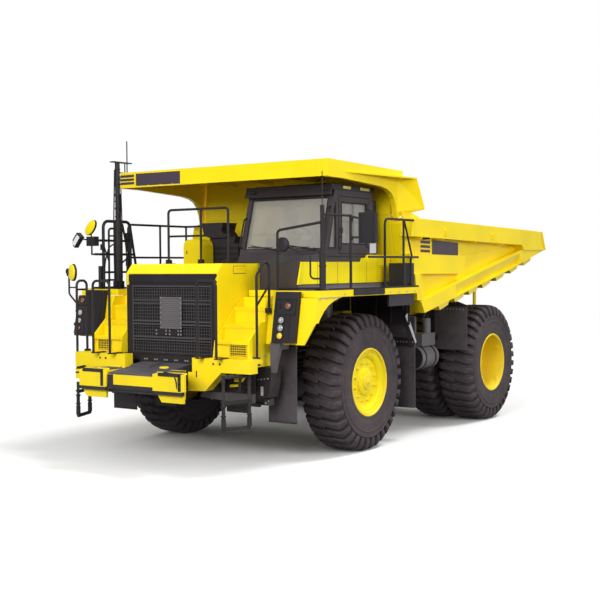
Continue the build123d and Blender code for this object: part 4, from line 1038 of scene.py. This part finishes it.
a = cushion("seat_cushion", (.815, -.175, 3.005), (1.285, .300, 3.128), .35, .06, (-.45, 0, .45))
b = cushion("seat_backrest", (.825, .262, 3.135), (1.275, .395, 3.700), .30, .08, (-.5, 0, .5), axis=1)
h_ = cushion("seat_headrest", (.93, .275, 3.690), (1.17, .375, 3.798), .4, .08, (), axis=1)
k = Kit()
k.box(.84, 1.26, -.14, .34, 2.652, 2.72, .01)
for i in range(6):
    k.box(.875 - i * .004, 1.225 + i * .004, -.10 - i * .004, .30 + i * .004, 2.722 + i * .036, 2.750 + i * .036, .008)
k.box(.82, 1.28, -.16, .34, 2.940, 3.004, .012)
k.cyl((.98, .33, 3.60), (.98, .33, 3.72), .008, 8)
k.cyl((1.12, .33, 3.60), (1.12, .33, 3.72), .008, 8)
ped = k.build("seat_pedestal", M["seal"], "chassis", "seat_fabric")
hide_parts("operator_seat")
k = Kit()
for x in (.72, 1.34):
    k.box(x - .03, x + .03, -.10, .26, 3.24, 3.285, .012)
    k.box(x - .02, x + .02, .20, .24, 3.00, 3.24, .006)
k.box(.47, .60, -.60, -.20, 2.652, 3.10, .012)
k.tube([(.55, -.40, 3.10), (.55, -.42, 3.28), (.56, -.44, 3.36)], .012, .03, 8)
k.turn([(0, .012), (.02, .026), (.05, .024), (.065, .010)], (.56, -.44, 3.34), (0, -.2, 1), 16)
k.box(.52, .86, -.66, -.60, 3.12, 3.36, .012)
k.box(1.30, 1.56, -.66, -.60, 3.12, 3.30, .012)
k.box(.60, 1.50, -.70, -.62, 3.112, 3.20, .015)
k.build("cab_inside_fittings", M["plastic"], "chassis", "lamp_plastic")
k = Kit()
k.box(.54, .84, -.600, -.596, 3.14, 3.34, .003)
k.box(1.32, 1.54, -.600, -.596, 3.14, 3.28, .003)
k.build("cab_displays", M["glass"], "chassis", "glass")
k = Kit()
k.box(.27, 1.75, -.80, .48, 2.651, 2.656, .001)
k.build("cab_floor_mat", M["flap"], "chassis", "rubber")

# ------------------------------------------------------------------ mirrors and lamps on the rails
k = Kit()
MN = Vector((-sin(rad(24)), -cos(rad(24)), 0))
MC = Vector((-1.70, -2.680, 2.834))
k.turn([(0, .121), (.010, .128), (.024, .119), (.036, .082), (.042, .02)], MC + MN * .0145, MN, 36)
tilt = Matrix.Translation((-2.325, -1.6705, 3.572)) @ Matrix.Rotation(rad(42), 4, "Y")
k.loft([[tilt @ Vector((a * cos(t), y_, b * sin(t))) for t in [2 * pi * i / 32 for i in range(32)]] for a, b, y_ in ((.074, .141, .0), (.080, .148, -.010), (.071, .136, -.024), (.038, .078, -.036), (.012, .02, -.040))])
k.build("far_mirror_shells", M["yellow"], "chassis", "yellow_paint")
k = Kit()
k.turn([(0, .100), (.006, .106), (.018, .100), (.030, .066), (.034, .02)], (1.715, -1.875, 3.222), (0, -1, 0), 36)
k.box(2.413, 2.6995, -.912, -.900, 3.243, 3.697, .010)
for x in (2.452, 2.660):
    k.box(x, x + .010, -.920, -.911, 3.262, 3.678, .003)
for z in (3.32, 3.60):
    k.box(2.30, 2.34, -.975, -.935, z - .03, z + .03, .005)
for z in (3.20, 3.705):
    k.cyl((2.60, -.868, z), (2.60, -.868, z + .035), .022, 14, .004)
k.build("mirror_shells", M["black"], "chassis", "black_paint")
k = Kit()
k.box(2.432, 2.690, -.8352, -.8315, 3.262, 3.678, .002)
k.turn([(0, .094), (.003, .094)], (1.715, -1.8495, 3.222), (0, 1, 0), 32)
k.turn([(0, .122), (.003, .122)], MC - MN * .0142, -MN, 32)
k.build("mirror_glasses", M["mirror"], "chassis", "chrome_rod")
k = Kit()
k.box(2.592, 2.698, -.8905, -.8855, 3.092, 3.248, .002)
k.build("mirror_lower_backing", M["pale"], "chassis", "lamp_plastic")
k = Kit()
tl = Matrix.Translation((-2.63, -1.67, 3.37)) @ Matrix.Rotation(rad(40), 4, "Y")
k.box(-.030, .046, -.052, -.0445, -.095, .095, .004, tl)
k.build("tower_lamp_glass", M["clear"], "chassis", "lamp_plastic")
k = Kit()
k.box(-2.390, -2.212, -1.704, -1.699, 3.276, 3.417, .003)
for i in range(4):
    k.box(-2.375 + i * .04, -2.355 + i * .04, -1.709, -1.703, 3.29, 3.40, .002)
for z, r in ((2.75, .078), (3.0, .078), (3.25, .078), (3.5, .078), (3.9, .050), (4.3, .050), (4.55, .048)):
    k.turn([(0, r), (.018, r), (.022, r - .006)], (-2.14, -1.210, z), (0, 0, 1), 24)
for z in (2.9, 3.08):
    k.turn([(0, .056), (.018, .056), (.022, .05)], (2.300, -1.715, z), (0, 0, 1), 24)
for x, y in ((2.28, -1.715), (-2.2, -1.5), (-2.2, -1.37), (-2.2, -.85), (-2.2, -1.10), (-2.22, -1.556)):
    w = .062 if x > 0 else .042
    k.box(x - w, x + w, y - w, y + w, 2.5605, 2.574, .003)
# hoses, clips and a small camera strapped to the tower
k.tube([(-2.155, -1.285, 2.60), (-2.165, -1.285, 3.30), (-2.185, -1.262, 3.72), (-2.155, -1.262, 4.55)], .011, .2, 8)
k.tube([(-2.125, -1.135, 2.60), (-2.115, -1.135, 3.60), (-2.125, -1.150, 4.45)], .009, .2, 8)
k.tube([(-2.10, -1.05, 2.60), (-2.12, -1.02, 2.95), (-2.16, -1.0, 3.3), (-2.13, -1.12, 3.62)], .012, .15, 8)
k.tube([(-2.24, -1.44, 2.60), (-2.25, -1.42, 3.0), (-2.24, -1.33, 3.25), (-2.18, -1.28, 3.30)], .012, .12, 8)
for i in range(7):
    z = 3.76 + i * .125
    k.box(-2.152, -2.128, -1.272, -1.150, z, z + .016, .003)
k.box(-2.235, -2.165, -1.545, -1.505, 3.20, 3.30, .006)
k.box(-2.245, -2.175, -.94, -.88, 3.38, 3.50, .006)
k.box(-2.27, -2.20, -.90, -.83, 2.93, 3.06, .006)
k.build("tower_bands_and_feet", M["black"], "chassis", "black_paint")

# ------------------------------------------------------------------ rail feet
k = Kit()
for x, ys in ((2.33, (.02, .62, .86)), (-2.33, (-.76, .07, .79))):
    for y in ys:
        k.box(x - .030, x + .0195, y - .055, y + .055, 2.5605, 2.574, .003)
        k.box(x - .026, x + .026, y - .026, y + .026, 2.572, 2.62, .004)
        for q in (-.040, .040):
            k.bolt((x, y + q, 2.574), (0, 0, 1), .008, .006)
for s in (1, -1):
    for x in (.852, 1.196):
        for y in (-2.60, -2.55):
            k.bolt((s * x, y, 1.616), (0, 0, 1), .010, .007)
for z in (1.53, 1.585):
    k.bolt((1.612, -2.325, z), (1, 0, 0), .010, .007)
k.build("rail_feet", M["black"], "chassis", "black_paint")

# ------------------------------------------------------------------ dump body and canopy
k = Kit()
for z0 in (4.292, 4.352, 4.412):
    k.box(-2.070, -1.765, -1.2100, -1.2068, z0, z0 + .042, .001)
k.py([(-1.722, 4.262), (-.765, 4.258), (-.765, 4.462), (-1.722, 4.466)], -1.2100, -1.2068)
for s in (1, -1):
    for z0 in (3.128, 3.203, 3.278):
        k.px([(1.590, z0 + .006), (1.590, z0 + .052), (1.935, z0 + .046), (1.935, z0)], s * 2.1205, s * 2.1235)
    k.px([(2.010, 3.100), (2.010, 3.345), (3.020, 3.310), (3.020, 3.086)], s * 2.1205, s * 2.1235)
k.build("body_blank_stripes", M["decal"], "dump_body", "black_paint")


def body_bits(k):
    # lifting lugs on the top rail and weld pads
    for y, z in ((2.16, 3.475), (4.09, 3.445)):
        k.box(2.3, 2.312, y - .035, y + .035, z - .055, z + .055, .005)
        k.tube([(2.306, y, z - .045), (2.33, y, z - .035), (2.33, y, z + .035), (2.306, y, z + .045)], .009, .015, 8)
    for y in (1.30, 1.62):
        k.box(2.115, 2.30, y, y + .016, 3.34, 3.388, .004)
    # wear strip along the rail's top edge
    k.px([(1.02, 3.683), (1.02, 3.695), (6.47, 3.597), (6.47, 3.585)], 2.05, 2.24)
    # tail edge stiffener
    k.px([(6.50, 3.583), (6.535, 3.583), (6.7145, 3.215), (6.68, 3.215)], 2.20, 2.318)


each(body_bits, "body_lugs_and_strips", M["yellow"], "dump_body", "yellow_paint")


def welds(k):
    # weld beads where ribs and gussets meet the plates
    def bead(p, q, r=.007):
        p, q = Vector(p), Vector(q)
        n = max(2, int((q - p).length / .012))
        u, w = k.basis(q - p)
        k.loft([k.ring(p.lerp(q, i / n), u, w, r * (1 + .25 * sin(i * 2.1)), 6) for i in range(n + 1)])
    bead((2.121, 1.12, 3.10), (2.121, 1.12, 3.36))
    bead((2.122, 3.11, 3.075), (2.122, 5.50, 3.300))
    bead((1.99, -1.10, 4.425), (1.99, .95, 4.398))
    bead((2.115, 1.45, 2.770), (2.115, 2.95, 2.762))
    bead((1.930, 1.40, 2.262), (1.930, 6.10, 3.195))


each(welds, "body_weld_beads", M["yellow"], "dump_body", "yellow_paint")


def canopy_ribs(k):
    # stiffeners under the canopy and along its front edge
    for x in (.45, 1.25):
        k.px([(-1.15, 4.436), (1.00, 4.400), (1.00, 4.34), (-1.10, 4.365)], x - .02, x + .02)
    for y in (-.55, .15):
        k.box(.02, 1.985, y - .03, y + .03, 4.375, 4.425, .006)
    k.box(.01, 1.985, -1.158, -1.140, 4.244, 4.29, .005)
    for i in range(8):
        k.bolt((.15 + i * .26, -1.2065, 4.262), (0, -1, 0), .010, .006)


each(canopy_ribs, "canopy_ribs", M["yellow"], "dump_body", "yellow_paint")
k = Kit()
for s in (1, -1):
    for y in (1.62, 2.1, 3.4, 4.6):
        k.px([(y, 3.388 - (y - .926) * .019), (y + .022, 3.388 - (y - .926) * .019), (y + .022, 3.36 - (y - .926) * .019), (y, 3.36 - (y - .926) * .019)], s * 2.122, s * 2.29)
    k.box(s * 2.296, s * 2.3035, 1.05, 1.12, 3.43, 3.64, .002)
k.build("body_side_tabs", M["yellow"], "dump_body", "yellow_paint")
k = Kit()
# rubber pads on the rails and their caps
for s in (1, -1):
    for y in (2.9, 3.5, 4.4):
        k.box(s * .45, s * .62, y, y + .22, 1.8005, 1.842, .01)
k.build("frame_rubber_pads", M["flap"], "chassis", "rubber")

# ------------------------------------------------------------------ chassis: pipes, tanks, front corner machinery
def front_machinery(k):
    k.cyl((.52, -1.10, 1.30), (.52, -.55, 1.30), .07, 24, .01)
    k.cyl((.80, -1.75, 1.18), (.80, -1.35, 1.18), .085, 24, .012)
    # splash panel, hangers and the black valve housing behind each bumper wing
    k.box(.64, 1.42, -2.160, -2.144, 1.06, 1.50, .003)
    k.box(1.05, 1.47, -1.845, -1.815, .87, 1.42, .006)
    k.py([(1.275, 1.46), (1.655, 1.46), (1.655, 1.25), (1.600, 1.02), (1.44, 1.00), (1.275, 1.06)], -2.10, -1.85)
    k.box(.42, .93, -1.66, -1.62, .77, 1.20, .010)
    k.box(.50, .93, -1.655, -1.645, .70, .77, .002)
    for x, z0, z1 in ((.719, 1.05, 1.36), (.960, 1.04, 1.48), (1.252, 1.06, 1.40), (1.41, 1.04, 1.44)):
        k.cyl((x, -2.30, z0), (x, -2.30, z1), .019, 12, .003)
        k.box(x - .032, x + .032, -2.33, -2.27, z0 + .03, z0 + .06, .004)
    k.tube([(.70, -2.26, 1.30), (.90, -2.24, 1.33), (1.05, -2.22, 1.24), (1.25, -2.20, 1.16), (1.40, -2.16, 1.18)], .016, .06, 10)
    k.tube([(.72, -2.22, 1.42), (.98, -2.20, 1.40), (1.15, -2.19, 1.46)], .013, .06, 10)
    k.box(.78, .90, -2.24, -2.165, 1.20, 1.34, .008)
    k.cyl((1.33, -2.155, 1.18), (1.33, -2.105, 1.18), .045, 20, .005)
    k.turn([(0, .046), (.016, .046), (.022, .036)], (1.327, -2.10, 1.292), (0, -1, 0), 20)
    k.box(1.15, 1.30, -1.90, -1.845, .845, .90, .006)
    k.tube([(.80, -1.40, 1.27), (.80, -1.1, 1.40), (.72, -.6, 1.44), (.70, .9, 1.42)], .022, .12, 10)
    k.tube([(.74, -2.30, 1.32), (.76, -1.7, 1.43), (.70, -.9, 1.47)], .018, .1, 10)
    for z in (.0, .06, .12):
        k.tube([(.672, -2.2, 1.22 + z), (.672, 2.2, 1.20 + z)], .011, .05, 8)


each(front_machinery, "front_corner_machinery", M["black"], slot="cast_steel")
k = Kit()
for s in (1, -1):
    k.prism([(s * 1.087, -2.225, 1.238), (s * 1.213, -2.225, 1.238), (s * 1.251, -2.225, 1.284), (s * 1.251, -2.225, 1.378), (s * 1.087, -2.225, 1.370)], (0, .050, 0))
    k.prism([(s * 1.012, -2.232, 1.156), (s * 1.158, -2.232, 1.168), (s * 1.158, -2.232, 1.205), (s * 1.012, -2.232, 1.191)], (0, .050, 0))
    k.box(s * 1.087, s * 1.251, -2.231, -2.225, 1.33, 1.345, .001)
k.build("front_corner_yellow_clips", M["yellow"], "chassis", "yellow_paint")
k = Kit()
# grey guard plate hung below the splash panel
for s in (1, -1):
    k.prism([(s * .60, -2.42, 1.02), (s * .72, -2.42, 1.098), (s * 1.545, -2.42, 1.094), (s * 1.545, -2.42, .968), (s * 1.07, -2.42, .978)], (0, .10, 0))
    k.box(s * 1.46, s * 1.575, -2.0, -1.90, .893, 1.00, .010)
    for x in (.80, 1.10, 1.48):
        k.box(s * x, s * (x + .05), -2.426, -2.418, .985, 1.090, .002)
k.build("front_corner_guard_plates", M["cab"], "chassis", "cast_steel")
k = Kit()
for s in (1, -1):
    k.box(s * 1.479, s * 1.522, -2.115, -2.098, 1.046, 1.178, .004)
k.build("front_corner_pale_bars", M["pale"], "chassis", "lamp_plastic")
k = Kit()
for s in (1, -1):
    for x, z in ((1.427, 1.274), (1.483, 1.283), (1.543, 1.291), (1.600, 1.299)):
        k.bolt((s * x, -2.10, z), (0, -1, 0), .0085, .008)
    for x, z in ((1.49, .93), (1.54, .96)):
        k.bolt((s * x, -2.0, z), (0, -1, 0), .008, .006)
k.build("front_corner_bolts", M["zinc"], "chassis", "black_paint")
k = Kit()
for s in (1, -1):
    k.turn([(0, .033), (.020, .034), (.030, .024)], (s * 1.327, -2.118, 1.292), (0, -1, 0), 20)
k.build("front_corner_caps", M["red"], "chassis", "lamp_plastic")

k = Kit()
# near tank: straps, end rings, filler; far tank: straps, steps, cap
for y in (2.46, 2.82):
    k.turn_closed([(-.02, .216), (-.02, .222), (.02, .222), (.02, .216)], (1.56, y, 1.27), (0, 1, 0), 48)
for y in (2.332, 2.948):
    k.turn([(-.006, .195), (0, .208), (.006, .195)], (1.56, y, 1.27), (0, 1, 0), 48)
k.turn([(0, .045), (.03, .045), (.035, .038)], (1.44, 2.52, 2.0), (0, 0, 1), 20)
k.turn([(0, .038), (.03, .038), (.035, .03)], (1.62, 2.76, 1.96), (0, 0, 1), 20)
for y in (1.85, 2.30, 2.75):
    k.box(-1.512, -1.500, y - .03, y + .03, .955, 1.695, .003)
    k.box(-1.505, -.72, y - .03, y + .03, 1.698, 1.709, .003)
for z in (1.15, 1.42):
    k.tube([(-1.50, 1.95, z), (-1.60, 1.95, z), (-1.60, 2.25, z), (-1.50, 2.25, z)], .014, .04, 10)
k.turn([(0, .07), (.03, .07), (.045, .055)], (-1.15, 1.85, 1.70), (0, 0, 1), 28)
k.build("tank_straps_and_caps", M["black"], "chassis", "black_paint")

# hydraulic lines along the hoists, pin caps
k = Kit()
for s in (1, -1):
    k.tube([(s * .36, 2.30, 1.36), (s * .40, 2.9, 1.50), (s * .405, 4.2, 1.52), (s * .405, 4.85, 1.56)], .016, .1, 10)
    k.turn([(0, .085), (.025, .085), (.03, .07)], (s * .702, 5.55, 1.90), (s, 0, 0), 28)
k.build("frame_lines_and_pin_caps", M["steel"], "chassis", "cast_steel")
k = Kit()
for s in (1, -1):
    k.box(s * .52, s * .61, 5.692, 5.712, 1.52, 1.62, .006)
k.build("tail_lamp_housings", M["plastic"], "chassis", "lamp_plastic")
k = Kit()
for s in (1, -1):
    k.box(s * .53, s * .60, 5.712, 5.720, 1.53, 1.61, .004)
k.build("tail_lamp_lenses", M["red"], "chassis", "lamp_plastic")

# cover behind the hood: door seam, hinge; intake ribs and clamps
k = Kit()
k.box(-1.16, -.91, -.5785, -.5755, 2.65, 3.20, .001)
k.build("cover_door_seam", M["yellow"], "chassis", "yellow_paint")
k = Kit()
for z in (2.70, 3.13):
    k.box(-1.175, -1.155, -.585, -.575, z, z + .05, .003)
k.box(-.93, -.915, -.586, -.576, 2.90, 2.98, .003)
for i in range(7):
    k.box(-.968, -.332, -.2445, -.2400, 2.66 + i * .09, 2.70 + i * .09, .0015)
k.turn_closed([(-.02, .186), (-.02, .193), (.02, .193), (.02, .186)], (-1.65, -.30, 2.75), (0, 1, 0), 48)
k.turn_closed([(-.02, .186), (-.02, .193), (.02, .193), (.02, .186)], (-1.65, .20, 2.75), (0, 1, 0), 48)
k.turn([(0, .15), (.03, .16), (.05, .14), (.055, .05)], (-1.65, -.50, 2.75), (0, -1, 0), 40)
k.build("cover_and_intake_fittings", M["black"], "chassis", "black_paint")

# ------------------------------------------------------------------ stage
def stage():
    me = bpy.data.meshes.new("floor")
    me.from_pydata([(-90, -90, 0), (90, -90, 0), (90, 150, 0), (-90, 150, 0)], [], [(0, 1, 2, 3)])
    o = bpy.data.objects.new("floor", me)
    bpy.context.scene.collection.objects.link(o)
    n = N("floor_white")
    c = n.mix(n.rng(n.noise(.4, 3), .3, .7, 0, 1), (.90, .90, .90), (.93, .93, .93))
    me.materials.append(n.done(c, .9, spec=.05))
    o.visible_diffuse = False


stage()
world = bpy.data.worlds.new("studio")
bpy.context.scene.world = world
world.use_nodes = True
wt = world.node_tree
bg = wt.nodes["Background"]
geo = wt.nodes.new("ShaderNodeTexCoord")
sep = wt.nodes.new("ShaderNodeSeparateXYZ")
wr = wt.nodes.new("ShaderNodeMapRange")
wt.links.new(geo.outputs["Generated"], sep.inputs[0])
wt.links.new(sep.outputs[2], wr.inputs["Value"])
for k_, v_ in zip(("From Min", "From Max", "To Min", "To Max"), (-.25, -.01, .07, .62)):
    wr.inputs[k_].default_value = v_
wt.links.new(wr.outputs["Result"], bg.inputs["Strength"])
lp = wt.nodes.new("ShaderNodeLightPath")
bg2 = wt.nodes.new("ShaderNodeBackground")
bg2.inputs["Strength"].default_value = 1.0
bg2.inputs["Color"].default_value = (1, 1, 1, 1)
mxw = wt.nodes.new("ShaderNodeMixShader")
wt.links.new(lp.outputs["Is Camera Ray"], mxw.inputs[0])
wt.links.new(bg.outputs[0], mxw.inputs[1])
wt.links.new(bg2.outputs[0], mxw.inputs[2])
wt.links.new(mxw.outputs[0], wt.nodes["World Output"].inputs["Surface"])
bg.inputs["Color"].default_value = (1.0, 1.0, 1.0, 1)


def area(name, loc, target, size, power, color=(1, 1, 1)):
    li = bpy.data.lights.new(name, "AREA")
    li.shape = "RECTANGLE"
    li.size, li.size_y = size
    li.energy = power
    li.color = color
    o = bpy.data.objects.new(name, li)
    bpy.context.scene.collection.objects.link(o)
    o.location = loc
    o.rotation_euler = (Vector(target) - Vector(loc)).to_track_quat("-Z", "Y").to_euler()
    return o


sun = bpy.data.lights.new("key", "SUN")
sun.energy = 1.8
sun.angle = rad(20)
so = bpy.data.objects.new("key", sun)
bpy.context.scene.collection.objects.link(so)
so.rotation_euler = Vector((-.33, -.50, -1.0)).to_track_quat("-Z", "Y").to_euler()
area("front_fill", (4, -17, 8), (0, -3, 2), (9, 6), 1750)
area("side_fill", (17, -4, 7), (1, 1, 2), (9, 5), 1100)

# ------------------------------------------------------------------ camera
cam = bpy.data.cameras.new("camera")
cam.lens = 65.4396
cam.sensor_width = 36
cam.clip_end = 400
co = bpy.data.objects.new("camera", cam)
bpy.context.scene.collection.objects.link(co)
A, P_, RO = rad(34.16), rad(1.743), rad(-.367)
fw = Vector((-sin(A) * cos(P_), cos(A) * cos(P_), -sin(P_)))
rt = Vector((cos(A), sin(A), 0))
up = rt.cross(fw)
rt2 = rt * cos(RO) + up * sin(RO)
up2 = -rt * sin(RO) + up * cos(RO)
m = Matrix((rt2, up2, -fw)).transposed().to_4x4()
m.translation = Vector((10.754, -16.470, 2.900))
co.matrix_world = m
bpy.context.scene.camera = co
bpy.context.scene.view_settings.view_transform = "Standard"
bpy.context.scene.view_settings.look = "None"
